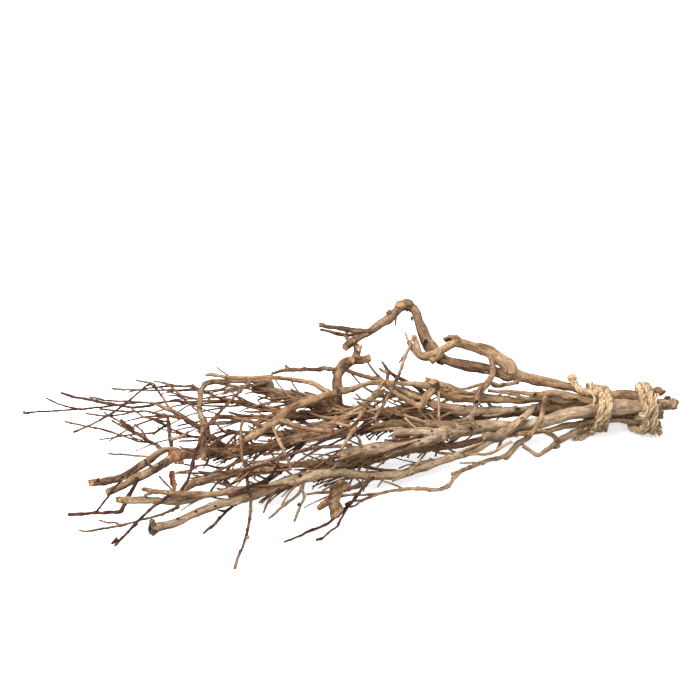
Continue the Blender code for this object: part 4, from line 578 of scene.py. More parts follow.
branch("front_twig", red_bark, [
    (177, 493, 1.5), (173, 494.5, 1.4), (166, 498, 1.5), (160, 502.3, 1.6), (153, 506.8, 1.6),
    (146, 513, 1.4), (139, 520.3, 1.4), (133, 526.7, 1.4), (126, 534, 1.3), (120, 540, 1.6),
    (115, 545.7, 1.3)], "low_fork")


# Looped and under stems
# A thin stem that loops out of the tie, and a short one under the others.
branch("looped_twig", tan_bark, [
    (645, 417, 2.4), (625, 416.5, 2.4), (606, 417, 2.6), (592, 421.5, 2.6), (580, 429, 2.8),
    (568, 435.5, 3), (558, 441.5, 3), (551, 447, 2.5), (544, 451.7, 2.2), (537, 455, 2.3),
    (530, 450.5, 1.9), (523, 446, 1.8)], twigs=[
    [(557, 443, 2.4), (556, 438.5, 2.2), (551, 434.3, 2.2), (544, 431.5, 2), (536, 431.3, 2),
    (530, 432.8, 1.9)]])
branch("under_stem", tan_bark, [
    (653, 425, 3), (630, 421, 2.6), (606, 420.5, 2.6), (590, 422, 2.6), (578, 424, 3.2),
    (566, 425.7, 3.3), (555, 428.3, 2.7), (543, 431, 2.4), (530, 433, 2.3), (518, 434, 2.2)])


# The long stem and its sprays
# The longest tan stem, forked into the outer limbs and, thinning out, into the reddish sprays
# that reach the bundle's left end.
brown_bark = bark_material(
    "brown bark", "brown_bark", shadow=(0.056, 0.025, 0.014), middle=(0.148, 0.074, 0.040), light=(0.24, 0.135, 0.077),
    pale=(0.41, 0.27, 0.17), scar_and_shade=(0.028, 0.013, 0.009), cut=(0.48, 0.28, 0.13), relief=0.6)
dark_bark = bark_material(
    "dark bark", "dark_bark", shadow=(0.028, 0.015, 0.010), middle=(0.07, 0.038, 0.025), light=(0.13, 0.077, 0.05),
    pale=(0.25, 0.16, 0.105), scar_and_shade=(0.012, 0.007, 0.006), cut=(0.30, 0.17, 0.09), relief=0.6)
branch("long_stem", pale_bark, [
    (676, 404.3, 6), (668, 404, 6.6), (655, 404.3, 6.2), (640, 405.7, 6), (625, 407.5, 6.5),
    (610, 409.2, 6.6), (595, 410.8, 6.4), (580, 413, 6), (560, 417.3, 6.2), (540, 421.8, 5.9),
    (520, 425, 5.5), (500, 426, 5.4), (485, 427, 6), (470, 428.5, 7), (456, 430, 8), (446, 433, 7.6),
    (438, 437, 6), (428, 440.3, 4.9), (416, 443, 5), (404, 445.2, 5.2), (390, 447, 5.7),
    (375, 448.7, 6), (360, 450.8, 6), (348, 453.5, 5.8), (340, 455.6, 5.5)], twigs=[
    [(442, 435, 4.8), (428, 432.3, 4.6), (416, 432, 4.4), (404, 432, 4.3), (394, 432.4, 4.1)]])
branch("outer_stem", weathered_bark, [
    (452, 428, 4.2), (440, 424.8, 4.2), (425, 423.8, 4.2), (410, 423.8, 4.3), (395, 425, 4.1),
    (380, 426.6, 3.6), (366, 429, 3), (355, 431, 3), (345, 432.5, 3.4), (330, 434.5, 4),
    (315, 436, 4.4), (302, 438.3, 4.6), (290, 441, 4.6), (278, 444.3, 4.5), (266, 447, 4.2),
    (252, 449.5, 4.2), (238, 451.5, 4.5), (224, 453, 4.8), (210, 453.7, 5), (196, 453.5, 4.7),
    (184, 454, 4.7), (172, 459, 4.4), (160, 465.5, 4.5), (148, 472, 4.3), (136, 478, 4.2),
    (124, 484, 4.1), (114, 489, 4), (106.5, 492.6, 3.8)], "long_stem")
branch("outer_fork", weathered_bark, [
    (184, 453, 3.4), (174, 450, 3), (165, 450.5, 3.2), (157, 455, 3.4), (149, 461, 3.6),
    (140, 467.3, 3.8), (130, 472.7, 3.9), (118, 477.5, 3.9), (104, 481.3, 3.9), (89, 483, 3.4)], "outer_stem", twigs=[
    [(156, 457, 1.1), (150, 456.6, 1.1), (135, 455.6, 0.9), (120, 454.3, 0.9), (108.6, 453.7, 0.9)]])
branch("bent_twig", red_bark, [
    (137, 480, 2), (133.5, 488, 2), (129, 496, 2.1), (124.5, 504, 2), (119.5, 511, 2.1),
    (112, 512, 1.8), (94, 513.2, 1.7), (80, 514.2, 1.7), (68, 514.6, 2)], "outer_stem")
branch("red_riser", red_bark, [
    (95.5, 512, 1.3), (101, 506, 1.1), (108, 496.5, 1.1), (117, 485.3, 1.1), (125, 477.5, 1),
    (132, 470.5, 0.9), (137, 467, 0.8)], "bent_twig")
branch("straight_twig", brown_bark, [
    (341, 433, 1.4), (335, 430.6, 1.2), (325, 429, 1.2), (312, 424.8, 1.3), (300, 420.8, 1.4),
    (290, 417.3, 1.6), (281, 413, 1.9), (270, 410, 2.2), (256, 406.3, 2.3), (243, 403.3, 2.3),
    (230, 401.3, 1.8), (215, 401, 1.5), (202, 401.5, 1.4), (187, 401.8, 1.3), (173, 401.3, 1.2),
    (157, 402.8, 1.1), (137, 402, 1), (125, 401.4, 1), (113, 400.8, 1), (101, 399.5, 0.9),
    (90, 397, 0.9)], "outer_stem", twigs=[
    [(243, 402.5, 1.6), (230, 400, 1.5), (215, 396, 1.4), (207, 392.5, 1.6), (198, 390, 1.8),
    (186, 389.9, 1.2), (175, 390, 1), (157, 390.3, 1), (130, 389.7, 1), (112, 388.5, 0.9)],
    [(199, 389.8, 1.6), (192, 386.5, 1.6), (184, 386.3, 1.1), (174, 385.2, 1.1), (163, 383, 1),
    (154.5, 381.2, 1)]])
branch("tip_twig", red_bark, [
    (140, 402, 1), (124, 404.3, 1), (110, 406, 1), (98, 407.5, 1), (79, 409.2, 1.1), (66, 410, 1),
    (51, 411.2, 0.9), (33, 412, 0.9), (23.5, 413, 1.4)], "straight_twig")
branch("forked_tip_twig", dark_bark, [
    (163, 402.6, 1.2), (150, 405.7, 1.3), (140, 407, 1.3), (130, 406.9, 1.3), (120, 405.5, 1.3),
    (108, 403.4, 1.5), (91, 400, 1.5), (75, 397, 1.3), (61, 392.8, 1.3)], "straight_twig")
branch("spray_stem", brown_bark, [
    (246, 450, 2.2), (233, 448, 2.3), (222, 444.5, 2.4), (213, 438.5, 2.4), (205, 432.3, 2.5),
    (196, 426, 2.7), (188, 420.8, 2.8), (180, 415.5, 2.6), (171, 410.3, 2.2), (161, 405.5, 1.8),
    (151, 402.3, 1.1)], "outer_stem", twigs=[
    [(175, 412, 1.4), (170, 408.5, 1.4), (165, 401.5, 1.3), (160.5, 394, 1.2)],
    [(161, 396.5, 1), (157.5, 390, 1), (153.5, 384, 1), (146, 382.3, 1), (136, 380, 0.8)],
    [(183, 417.5, 1.5), (172, 416.6, 1.6), (166, 415.5, 1.4), (157, 413.6, 1.2), (146, 411.4, 1),
    (135, 411.2, 1), (122, 411.3, 0.9), (112, 410.5, 0.9), (100, 409, 0.8)],
    [(134, 411.5, 0.9), (127, 413.5, 0.8), (118, 415.2, 0.8), (108, 415.8, 0.8), (99, 415.3, 0.8),
    (86, 413.6, 0.8)]])
branch("spray_riser", brown_bark, [
    (210, 436, 1.5), (208, 428, 1.3), (206, 420, 1.2), (200, 413, 1.1), (194, 408, 1.1),
    (187, 401, 1.1), (180, 394.5, 1.2), (172, 388, 1.2), (163.5, 382.2, 1)], "spray_stem")
branch("spray_runner", red_bark, [
    (157, 389.5, 0.9), (150, 384.5, 0.9), (142, 389.5, 1), (130, 400, 1.1), (120, 407.5, 1.1),
    (109, 415, 1.2), (98, 421.3, 1.1), (88, 426, 1.1), (73.4, 432.3, 1.3)], "spray_stem")
branch("side_spray", red_bark, [
    (170, 460, 2), (170, 455, 2), (171, 446, 1.9), (169.8, 436, 1.9), (169.3, 426, 2),
    (167.5, 417.5, 1.5)], "outer_stem", twigs=[
    [(168, 421.5, 1), (161, 420.8, 1), (154, 419, 1), (145, 417.5, 1), (138, 413, 0.9),
    (131, 408, 0.8)],
    [(168, 424, 1.2), (161, 428, 1.2), (153, 434.6, 1.3)],
    [(170, 428.5, 1), (180, 432.3, 1), (190, 436, 1), (197, 437.8, 0.9)]])
branch("left_spray", brown_bark, [
    (162, 452, 2), (156, 444.5, 1.9), (148, 440.5, 1.9), (140, 435.7, 1.8), (130, 430.5, 1.6),
    (120, 425, 1.2), (112, 420.6, 1)], "outer_fork", twigs=[
    [(138, 434, 1), (130, 428.5, 1), (120, 422, 1), (110, 416, 1), (104, 412.3, 1)],
    [(151, 442, 1.2), (140, 441.5, 1.1), (130, 438.4, 1), (120, 434.7, 1), (108, 431, 1.2),
    (95, 428, 0.9), (83, 425.5, 1), (75, 424, 0.9), (65, 421.5, 1)],
    [(147, 440, 1.1), (143, 432.5, 1.1), (139, 428, 1), (134.5, 424.2, 0.7)]])


# The far stem
# A pale stem at the back of the tie that crosses under the bundle to its front.
branch("far_stem", tan_bark, [
    (640, 411, 3.2), (625, 411, 3.2), (606, 412, 3.4), (585, 414.5, 3.4), (560, 419, 3.4),
    (530, 427.5, 3.4), (505, 434.5, 3.2), (480, 440, 3.2), (460, 444, 3.2), (440, 447, 3.4),
    (420, 449.5, 3.6), (400, 452.5, 3.9), (384, 456, 4.3), (368, 460, 4.8), (356, 462.8, 4.2),
    (340, 465, 3.6), (320, 465, 3.4), (300, 464.5, 3.2), (285, 466.5, 3.2), (271, 469.5, 3.5),
    (258, 471, 3.8), (245, 472.3, 4), (231, 474.3, 4.2), (215, 477, 4.4), (202, 480, 4.6),
    (192, 483, 4.4), (184.5, 488, 3.8), (180, 495, 3.1), (178, 502, 2.6), (177.5, 508, 2.1)], twigs=[
    [(177, 507, 1.5), (163, 513.8, 1.3), (152, 517.2, 1.3), (139, 520.5, 1.2), (130, 523, 1.2),
    (121, 525.5, 1.5), (110, 527.3, 1.2), (98, 529.5, 1.3), (84, 531.3, 1), (79.5, 530.2, 0.9)],
    [(120, 525.5, 1.1), (116, 523, 1), (108, 522.8, 1), (99.7, 520, 0.9)]], aged_twigs=0.55)
branch("red_front_twig", red_bark, [
    (288, 466.5, 1.6), (284, 468.5, 1.6), (276, 475.5, 1.6), (268, 481.3, 1.6), (258, 488, 1.6),
    (249, 494.8, 1.5), (241, 500.6, 1.4), (232, 506.8, 1.3), (225, 512.5, 1.3), (218, 520.3, 1.3),
    (213, 526, 1.6), (207, 530, 1.2), (203.5, 533.3, 1.1)], "far_stem")


# The back stem and what grows from it
# The stem at the back, with the short cut log, the gnarled upright stub and the arched twigs
# that stand over the bundle's middle.
branch("back_stem", weathered_bark, [
    (646, 410, 3), (625, 413, 3.2), (606, 414, 3.4), (585, 415.5, 3.4), (560, 415, 3.2),
    (540, 413.5, 3), (523, 413.5, 2.8), (505, 415.3, 2.8), (490, 417, 2.7), (475, 419, 2.5),
    (462, 420, 2.6), (450, 418.5, 3.5), (440, 415.5, 4.5), (425, 413.5, 5.4), (410, 412.5, 5.5),
    (395, 412, 5.6), (382, 412.3, 5.2), (370, 413, 4.8), (357, 413, 4.6), (346, 412.6, 4.6)])
branch("back_runner", tan_bark, [
    (478, 419, 2.2), (462, 419.5, 2.2), (450, 417.5, 2.2), (440, 415.5, 2.2), (425, 413.5, 2.2),
    (410, 412.5, 2.1), (395, 412, 2.1), (382, 412.3, 2), (370, 413, 2), (357, 413, 1.9),
    (350, 412.6, 1.8)], "back_stem")
old_bark = bark_material(
    "old bark", "tan_bark", shadow=(0.055, 0.026, 0.014), middle=(0.14, 0.072, 0.038), light=(0.24, 0.135, 0.075),
    pale=(0.42, 0.27, 0.16), scar_and_shade=(0.02, 0.010, 0.007), cut=(0.58, 0.29, 0.12))
branch("gnarled_upright", old_bark, [
    (343, 411, 4.6), (338, 406, 4.8), (336.5, 400, 5), (337.3, 390, 5.2), (338, 380, 5),
    (339.5, 372, 5.6), (344, 365.5, 6.2), (351, 361, 5), (356, 359.5, 4.4)], "back_stem", twigs=[
    [(355, 359, 3.8), (357, 350, 3.4), (356, 345.5, 3.2)],
    [(355, 360, 3.8), (363, 360, 3.3), (369, 357.6, 3.3)]])
branch("short_log", weathered_bark, [
    (334, 410.5, 4.4), (329, 409.5, 4.6), (318, 404.5, 5.4), (305, 400, 6), (292, 397, 6.4),
    (281, 394.2, 6.2), (271, 391.5, 5.5), (262, 389, 4.9), (252.5, 387.6, 4.1)], "back_stem")
branch("side_twig", brown_bark, [
    (338, 370, 2.2), (331, 368.6, 2), (325, 368.2, 2.2), (315, 369.6, 1.9), (303, 370, 1.9),
    (290, 370, 2), (280, 371, 1.8), (272, 373.6, 1.4)], "gnarled_upright", twigs=[
    [(290, 369.5, 1.6), (285, 365.2, 1.4)]])
branch("arched_twig", weathered_bark, [
    (271, 387, 2.8), (270, 383, 3), (260, 381.5, 2.4), (250, 380.6, 2.2), (238, 381, 2.3),
    (225, 381.2, 2.8), (212, 381.8, 2.8), (204.5, 384.5, 2.8), (201, 391, 2.7), (200, 400, 2.8),
    (200.3, 412, 2.8), (202, 422, 2.8), (203.3, 432, 3), (203.5, 442, 3), (203.5, 449, 2.9),
    (203.7, 459, 2.6)], "short_log", twigs=[
    [(266, 383.2, 2), (255, 385, 2), (245, 386.3, 2), (235, 388.2, 2), (227, 391.5, 2),
    (223, 394, 1.5)],
    [(240, 387, 1.4), (230, 386.3, 1.3), (221, 389.3, 1.3), (210, 390.6, 1.1), (204, 391.5, 0.9)]])
branch("cross_twig", red_bark, [
    (250, 381, 1.5), (247, 385, 1.5), (240, 391.3, 1.5), (232, 399, 1.5), (225, 406.5, 1.5),
    (218, 413.8, 1.5), (210, 423, 1.7), (204, 431.5, 1.7), (200.5, 440, 1.6), (197.5, 448, 1.5),
    (195, 456, 1.6), (192, 465, 1.7), (190, 473, 1.4), (187.5, 480, 1.4), (183.5, 487, 1.5),
    (181, 495, 1.4), (178.5, 504, 1.1)], "arched_twig", pale=(0.5, -0.1))
branch("drooping_twig", brown_bark, [
    (262, 430, 2), (261, 427.5, 2), (255, 423.3, 2), (245, 420, 2), (235, 418.3, 2), (223, 416.5, 1.9),
    (216, 418.5, 1.6), (211, 423, 1.3)], "diagonal_stem", twigs=[
    [(243, 419.5, 1.8), (242, 424, 1.5), (240.7, 432, 1.4), (240.6, 441, 1.4), (241.5, 451, 1.4),
    (243.3, 462, 1.4), (245.5, 472, 1.5), (247, 480, 1.6), (249, 490, 1.7), (251, 498, 1.7),
    (250.6, 506, 1.5), (249.6, 515, 1.5), (248.5, 525, 1.5), (246.5, 535, 1.6), (243.5, 544, 1.4),
    (240, 553, 1.4), (237, 561, 1.5), (234.5, 568.7, 1.6)],
    [(237, 418.6, 1.5), (229, 422.5, 1.6), (222, 424, 1.4), (214, 424, 1.1)]])
branch("back_log", tan_bark, [
    (385, 390, 2.4), (378, 395, 2.5), (372, 400, 2.6), (364, 405, 3.2), (355, 410.5, 3.8),
    (345, 417, 4), (335, 423.3, 4), (322, 427, 3.7), (310, 429.8, 3.7), (298, 431.7, 4),
    (283, 435, 4.4)])
branch("burnt_stem", brown_bark, [
    (346, 413, 2.8), (338, 415, 3), (325, 414.5, 2.8), (310, 415, 2.6), (290, 416.3, 2.6),
    (274, 418, 2.8), (262, 418, 2.9), (255, 416.8, 2.1), (251, 414, 1)], "back_stem")
branch("inner_stem", tan_bark, [
    (425, 399, 2.2), (419, 398, 2.4), (410, 395, 3), (401, 391.5, 3), (395, 387.5, 2.4)], "gnarled_stem")
branch("dark_twig", dark_bark, [
    (427, 394, 2), (422, 391.5, 2), (416, 386.3, 1.9), (409, 382, 1.6), (400, 378.8, 1.9),
    (392, 374.5, 1.9), (387.5, 370, 1.9), (384.5, 365, 1.3), (382, 361.8, 1)], "gnarled_stem", twigs=[
    [(388, 371.5, 1.6), (387.5, 378, 1.6), (387.5, 384, 1.4)]])


# Loose twigs
# Broken twigs caught between the others, held by nothing else.
branch("bridge_twig", brown_bark, [
    (344, 369, 2), (353, 372.8, 2), (360, 375, 2.1), (370, 377.6, 2.1), (382, 380.3, 1.8)], "gnarled_upright")
branch("tall_twig", brown_bark, [
    (374, 420, 1.7), (377, 414.5, 1.8), (380.5, 409, 1.8), (384, 403, 1.7), (388, 396.5, 1.7),
    (391.5, 390, 1.8), (394, 385.5, 1.9), (396.5, 379.5, 1.9), (399.5, 373, 1.4), (402.3, 366, 1.7),
    (404, 359.5, 1.6), (406.3, 353, 1.7), (409.5, 347.5, 1.2), (411, 342, 1), (413, 337, 0.8)], pale=(0.55, 0.8), twigs=[
    [(406, 354, 1.2), (403, 357.5, 1), (399.5, 362.3, 0.9)]])
branch("red_twig", red_bark, [
    (364, 416, 1.2), (357, 421.5, 1.2), (350, 426.5, 1.3), (341, 431.5, 1.3), (332, 436.3, 1.3),
    (322, 441, 1.3), (313, 445, 1.1)])
branch("pink_twig", brown_bark, [
    (352, 444.5, 1.5), (340, 446, 1.6), (326, 446.8, 1.6), (312, 448.3, 1.7), (300, 451, 1.8),
    (289, 454.5, 1.9), (278, 458, 1.7), (268, 461.5, 1.5), (254, 466, 1.5), (241, 470, 1.2)])
branch("knotted_twig", dark_bark, [
    (277, 434.5, 1.5), (266, 433.5, 1.5), (251, 432.4, 1.5), (240, 432, 1.5), (226.5, 432, 1.8)])


# Sprigs
# Short side twigs and broken bits, thinner than 2 mm, that grow from the stems all along the
# bundle and catch on each other. Each is rooted on the solid stem under its first point.
corners, sides = [], []
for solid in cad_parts.values():
    sides += [[len(corners) + k for k in face.vertices] for face in solid.data.polygons]
    corners += [vertex.co for vertex in solid.data.vertices]
every_solid = BVHTree.FromPolygons(corners, sides)
LEAST_HEIGHT = 0.0008
ROOT_SEARCH = ((0, 0), (0, -1.5), (0, 1.5), (-1.5, 0), (1.5, 0), (0, -3), (0, 3), (-3, 0), (3, 0))


def front(across, down):
    """Depth of the first solid that a line of sight meets, or None."""
    ray = sight(across, down)
    stretch = np.linalg.norm(ray)
    place, _, _, far = every_solid.ray_cast(Vector(EYE), Vector(ray / stretch))
    return None if place is None else far / stretch


def sprig_depths(route, lean):
    """Straight run of depths from the solid at the root, tilted to pass in front of the rest."""
    found = [front(route[0, 0] + du, route[0, 1] + dv) for du, dv in ROOT_SEARCH]
    root = next((d for d in found if d is not None), None)
    if root is None:
        root = min(d for d in (front(u, v) for u, v, _ in route) if d is not None)
    root += 0.6 * route[0, 2] * SQUARE
    length = np.concatenate([[0.0], np.cumsum(np.hypot(*np.diff(route[:, :2], axis=0).T))]) * SQUARE
    tilt = -lean
    for (u, v, r), run in zip(route[1:], length[1:]):
        there = front(u, v)
        if there is not None:
            tilt = min(tilt, (there - 1.3 * r * SQUARE - root) / run)
    on_floor = (LEAST_HEIGHT + route[:, 2] * SQUARE - EYE[2]) / sight(route[:, 0], route[:, 1])[:, 2]
    return np.minimum(root + max(tilt, -1.0) * length, on_floor)


FULLER = 1.15


def sprigs(name, material, routes, lean=0.05):
    """One mesh of several thin twigs, drawn one by one."""
    stems = []
    for route in routes:
        route = np.array(route, float)
        route[:, 2] *= FULLER
        depth = sprig_depths(route, lean)
        stems.append(solid_stem(placed(route, depth), route[:, 2] / EYE_SQUARES * depth, ROUNDED, SUNK))
    made = assemble(name, stems, material)
    return made


def many_tubes(lines, radii, sides):
    """Points and faces of many closed tubes at once, each a row of rings with flat ends."""
    count, rings = radii.shape
    along = np.gradient(lines, axis=1)
    side = np.cross(along, (0.31, 0.52, 0.79))
    side /= np.maximum(np.linalg.norm(side, axis=-1, keepdims=True), 1e-12)
    other = np.cross(along, side)
    other /= np.maximum(np.linalg.norm(other, axis=-1, keepdims=True), 1e-12)
    turn = np.linspace(0, 2 * np.pi, sides, endpoint=False)[:, None]
    arm = np.cos(turn) * side[:, :, None] + np.sin(turn) * other[:, :, None]
    places = lines[:, :, None] + arm * radii[:, :, None, None]
    ring = np.arange(count * rings * sides).reshape(count, rings, sides)
    after = np.roll(ring, -1, axis=2)
    quads = np.stack([ring[:, :-1], after[:, :-1], after[:, 1:], ring[:, 1:]], -1).reshape(-1, 4)
    caps = np.concatenate([ring[:, 0, ::-1], ring[:, -1]])
    length = np.cumsum(np.linalg.norm(np.diff(lines, axis=1, prepend=lines[:, :1]), axis=-1), axis=1)
    grain = np.stack([np.broadcast_to(np.cos(turn[:, 0]), places.shape[:3]) * radii[:, :, None],
                      np.broadcast_to(np.sin(turn[:, 0]), places.shape[:3]) * radii[:, :, None],
                      np.broadcast_to(length[:, :, None], places.shape[:3])], -1)
    grain = grain + chance.uniform(-1, 1, (count, 1, 1, 3))
    return places.reshape(-1, 3), quads, caps, grain.reshape(-1, 3)


def thicket(name, material, corners, count, long, thick, spread, stray=22.0, loose=0.15):
    """Many small twigs rooted on stems inside a drawn box, that run on away from the tie.

    Each is a parabola: a straight run out from its root plus a sideways bend that grows
    with the square of the way along it.
    """
    (left, top), (right, bottom) = corners
    steps = np.linspace(0, 1, 9)
    lines, radii = [], []
    tries = 0
    while len(lines) < count and tries < count * 6:
        tries += 1
        u, v = chance.uniform(left, right), chance.uniform(top, bottom)
        found = front(u, v)
        reach, wide = chance.uniform(*long), chance.uniform(*thick)
        heading = math.atan2(v - TIE_PLACE[1], u - TIE_PLACE[0]) + math.radians(chance.normal(0, stray))
        bend, lean = chance.normal(0, 0.24), chance.normal(0, spread)
        backed = [front(u + part * reach * math.cos(heading), v + part * reach * math.sin(heading))
                  for part in (0.35, 0.7, 1.0)]
        if found is None or (chance.random() > loose and None in backed):
            continue
        root = found + chance.uniform(0.0, 0.012)
        run = np.column_stack([
            u + steps * reach * math.cos(heading) - bend * reach * steps ** 2 * math.sin(heading),
            v + steps * reach * math.sin(heading) + bend * reach * steps ** 2 * math.cos(heading)])
        line = placed(run, root + lean * reach * SQUARE * steps)
        if line[:, 2].min() < 0.001:
            continue
        lines.append(line + chance.normal(0, 0.00022, line.shape) * steps[:, None])
        radii.append(wide * SQUARE * (1 - 0.4 * steps) * chance.uniform(0.85, 1.15, len(steps)))
    places, quads, caps, grain = many_tubes(np.array(lines), np.array(radii), 5)
    tint = np.zeros((len(places), 4))
    tint[:, 0] = np.repeat(chance.uniform(0, 0.6, len(lines)) ** 2, len(places) // len(lines))
    tint[:, 2] = np.repeat(chance.uniform(0, 1, len(lines)) ** 2, len(places) // len(lines)) * 0.5
    made = make_mesh(name, places, quads, caps, grain, tint, material)
    return made


TIE_PLACE = (640.0, 405.0)
# One bark-covered twig from the fork's root leans over the front of the long stem.
over = np.array([(543.6, 408, 2.4), (542, 414, 2.4), (540.5, 420, 2.4), (537, 427, 2.4), (532, 433, 2.5),
                 (526, 438.3, 2.6), (519, 443, 2.8)])
over_run = np.concatenate([[0.0], np.cumsum(np.hypot(*np.diff(over[:, :2], axis=0).T))])
ends = [middles("forked_twig", *over[k, :2])[0] for k in (0, -1)]
over_depth = np.interp(over_run, over_run[[0, -1]], ends)
for k in range(1, len(over) - 1):
    seen = front(*over[k, :2]) or over_depth[k]
    over_depth[k] = min(over_depth[k], seen - 0.9 * over[k, 2] * SQUARE)
lying = assemble("leaning_twig", [solid_stem(placed(over, over_depth), over[:, 2] / EYE_SQUARES * over_depth,
                                             SUNK, SUNK)], tan_bark)

rust_bark = bark_material(
    "rust bark", "brown_bark", shadow=(0.10, 0.04, 0.018), middle=(0.20, 0.085, 0.038), light=(0.30, 0.145, 0.07),
    pale=(0.42, 0.25, 0.13), scar_and_shade=(0.03, 0.013, 0.008), cut=(0.42, 0.25, 0.12), relief=0.5)
sprigs("tan_sprigs", tan_bark, [
    [(358, 351, 2.2), (361.5, 346, 1.2)],
    [(387, 372.5, 1.4), (383, 371, 1.2), (379.5, 368.5, 1.1)],
    [(278, 419, 2), (290, 423.5, 2), (303, 427.5, 2), (320, 430.5, 2), (335, 432, 2)],
    [(391.5, 480.5, 1.1), (401, 477.5, 1.1), (411, 469, 1.1), (421.6, 460, 0.9)],
    [(512, 441, 1.3), (500, 448, 1.3), (490, 453, 1.3), (470, 454.5, 1.1)],
    [(485, 442, 1.2), (472, 447, 1.2), (460, 452, 1.1)],
    [(480, 462.5, 0.8), (470, 463, 0.7), (460, 463, 0.6)],
    [(369, 440, 0.8), (373, 436, 0.8), (377, 430.5, 0.7)],
    [(369, 439.5, 0.6), (366, 435, 0.5), (364.5, 432, 0.5)],
    [(361, 446, 1.3), (359, 439, 1.2), (355, 434, 1.1)],
    [(171, 439, 1.5), (180, 437, 1.5), (188, 432, 1.3)],
    [(546, 398, 1.7), (530, 398.5, 1.6), (520, 396.5, 1.5), (510, 393.3, 1.6), (500, 392.8, 1.4)]])
sprigs("red_sprigs", red_bark, [
    [(117.5, 538.5, 1.5), (114.5, 541, 1.4), (112, 543.5, 1.2)],
    [(137, 524, 0.9), (134, 527, 0.8), (130.5, 529, 0.7)],
    [(226, 511.5, 1.1), (222, 510.8, 0.9), (218, 510, 0.7)],
    [(278, 467, 1.5), (270, 477, 1.5), (262, 482, 1.5), (250, 486, 1.4), (240, 491, 1.4), (230, 496, 1.2)],
    [(86, 409, 0.8), (79, 408.8, 0.8), (70, 407.3, 0.8), (58, 403.6, 0.7), (50, 400, 0.8), (45.5, 398, 0.6)],
    [(185, 399.5, 0.8), (178, 396.3, 0.7), (168, 395, 0.6)],
    [(165, 425, 1), (158, 422, 1.1), (152, 418.5, 1)],
    [(134, 430.5, 1.5), (127, 425.5, 1.4), (121, 420, 1.1)],
    [(143, 440.5, 0.7), (135, 438.3, 0.7), (129, 434.8, 0.6)],
    [(432, 431, 1), (420, 435, 1), (410, 438.5, 1), (400, 440, 1), (385, 440, 0.8)],
    [(252, 405, 1), (265, 407, 1), (278, 408, 1), (287, 409, 0.9)],
    [(324, 416.5, 1), (312, 418.5, 1), (300, 419, 0.9)],
    [(290, 486, 1), (284, 489, 1), (276, 493, 1), (270, 496.6, 0.8)],
    [(345, 505, 1), (350, 502, 1), (362, 499.5, 0.9), (372, 496, 0.8)],
    [(355, 477, 0.9), (360, 482, 0.8), (363, 484, 0.7)],
    [(159, 476, 0.8), (165, 483, 0.8), (172, 490, 0.7)],
    [(197, 467, 1), (190, 470, 0.9), (180, 472, 0.9), (174, 474, 0.8)],
    [(230, 468, 1), (215, 467, 1), (205, 465, 0.9), (195, 466, 0.9), (185, 464.5, 0.8)],
    [(210, 474, 0.9), (195, 473, 0.9), (180, 473, 0.8)],
    [(370, 424, 1.1), (360, 430, 1.1), (350, 436, 1.1), (340, 440, 1), (328, 446, 0.9)],
    [(352, 420, 1.2), (344, 427, 1.2), (334, 431.5, 1.1), (322, 436.5, 1.1), (308, 441, 0.9)],
    [(376, 412, 1), (366, 421, 1), (356, 431, 1), (348, 439, 0.9)],
    [(420, 441, 1), (404, 446, 1), (386, 452, 1), (366, 458, 0.9), (348, 466, 0.8)]])
sprigs("hook_sprigs", brown_bark, [
    [(374, 330.5, 1.7), (362, 331.5, 1.6), (352, 331.5, 1.6), (341, 328.5, 1.6), (330, 326.8, 1.6), (320, 325.8, 1.5)],
    [(368, 334.5, 1.6), (356, 334.5, 1.5), (345, 335.5, 1.4), (333, 332.5, 1.3), (321, 329.6, 1.3)],
    [(327, 326.6, 0.9), (322, 323.8, 0.8), (319.5, 323.4, 0.7)]])
sprigs("hook_prong", weathered_bark, [[(352, 343, 2.4), (348.5, 339.5, 1.9), (345.5, 335.5, 1.5)]])
sprigs("dark_sprigs", dark_bark, [
    [(366, 483, 2), (360, 485.5, 2), (352, 487.5, 1.9), (345, 490, 1.6)],
    [(155, 470, 1.4), (149.5, 465, 1.3), (145, 459.5, 1.1)],
    [(224, 480.5, 1.8), (227, 483, 1.7), (230, 485.5, 1.5)]])
thicket("rust_thicket", rust_bark, ((204, 430), (262, 470)), 120, (8, 26), (0.9, 1.8), 0.35, 45)
thicket("middle_thicket", rust_bark, ((250, 405), (470, 482)), 250, (16, 54), (0.8, 1.6), 0.25, 15)
thicket("front_thicket", brown_bark, ((200, 440), (400, 498)), 150, (16, 46), (0.8, 1.7), 0.25, 17)
thicket("back_thicket", brown_bark, ((250, 388), (430, 440)), 200, (16, 44), (0.9, 1.9), 0.25, 12, 0.06)
thicket("left_thicket", red_bark, ((150, 385), (260, 440)), 30, (28, 70), (0.9, 1.3), 0.15, 9, 0.35)
thicket("tan_thicket", tan_bark, ((230, 390), (520, 465)), 250, (12, 32), (1.1, 2.4), 0.25, 16, 0.05)


# Knots, scars and broken ends
# Where a side branch once grew or was cut there is a raised knot: a pale orange cut face, a
# dark hollow, or only a lump of bark.
RAISED = 1.1


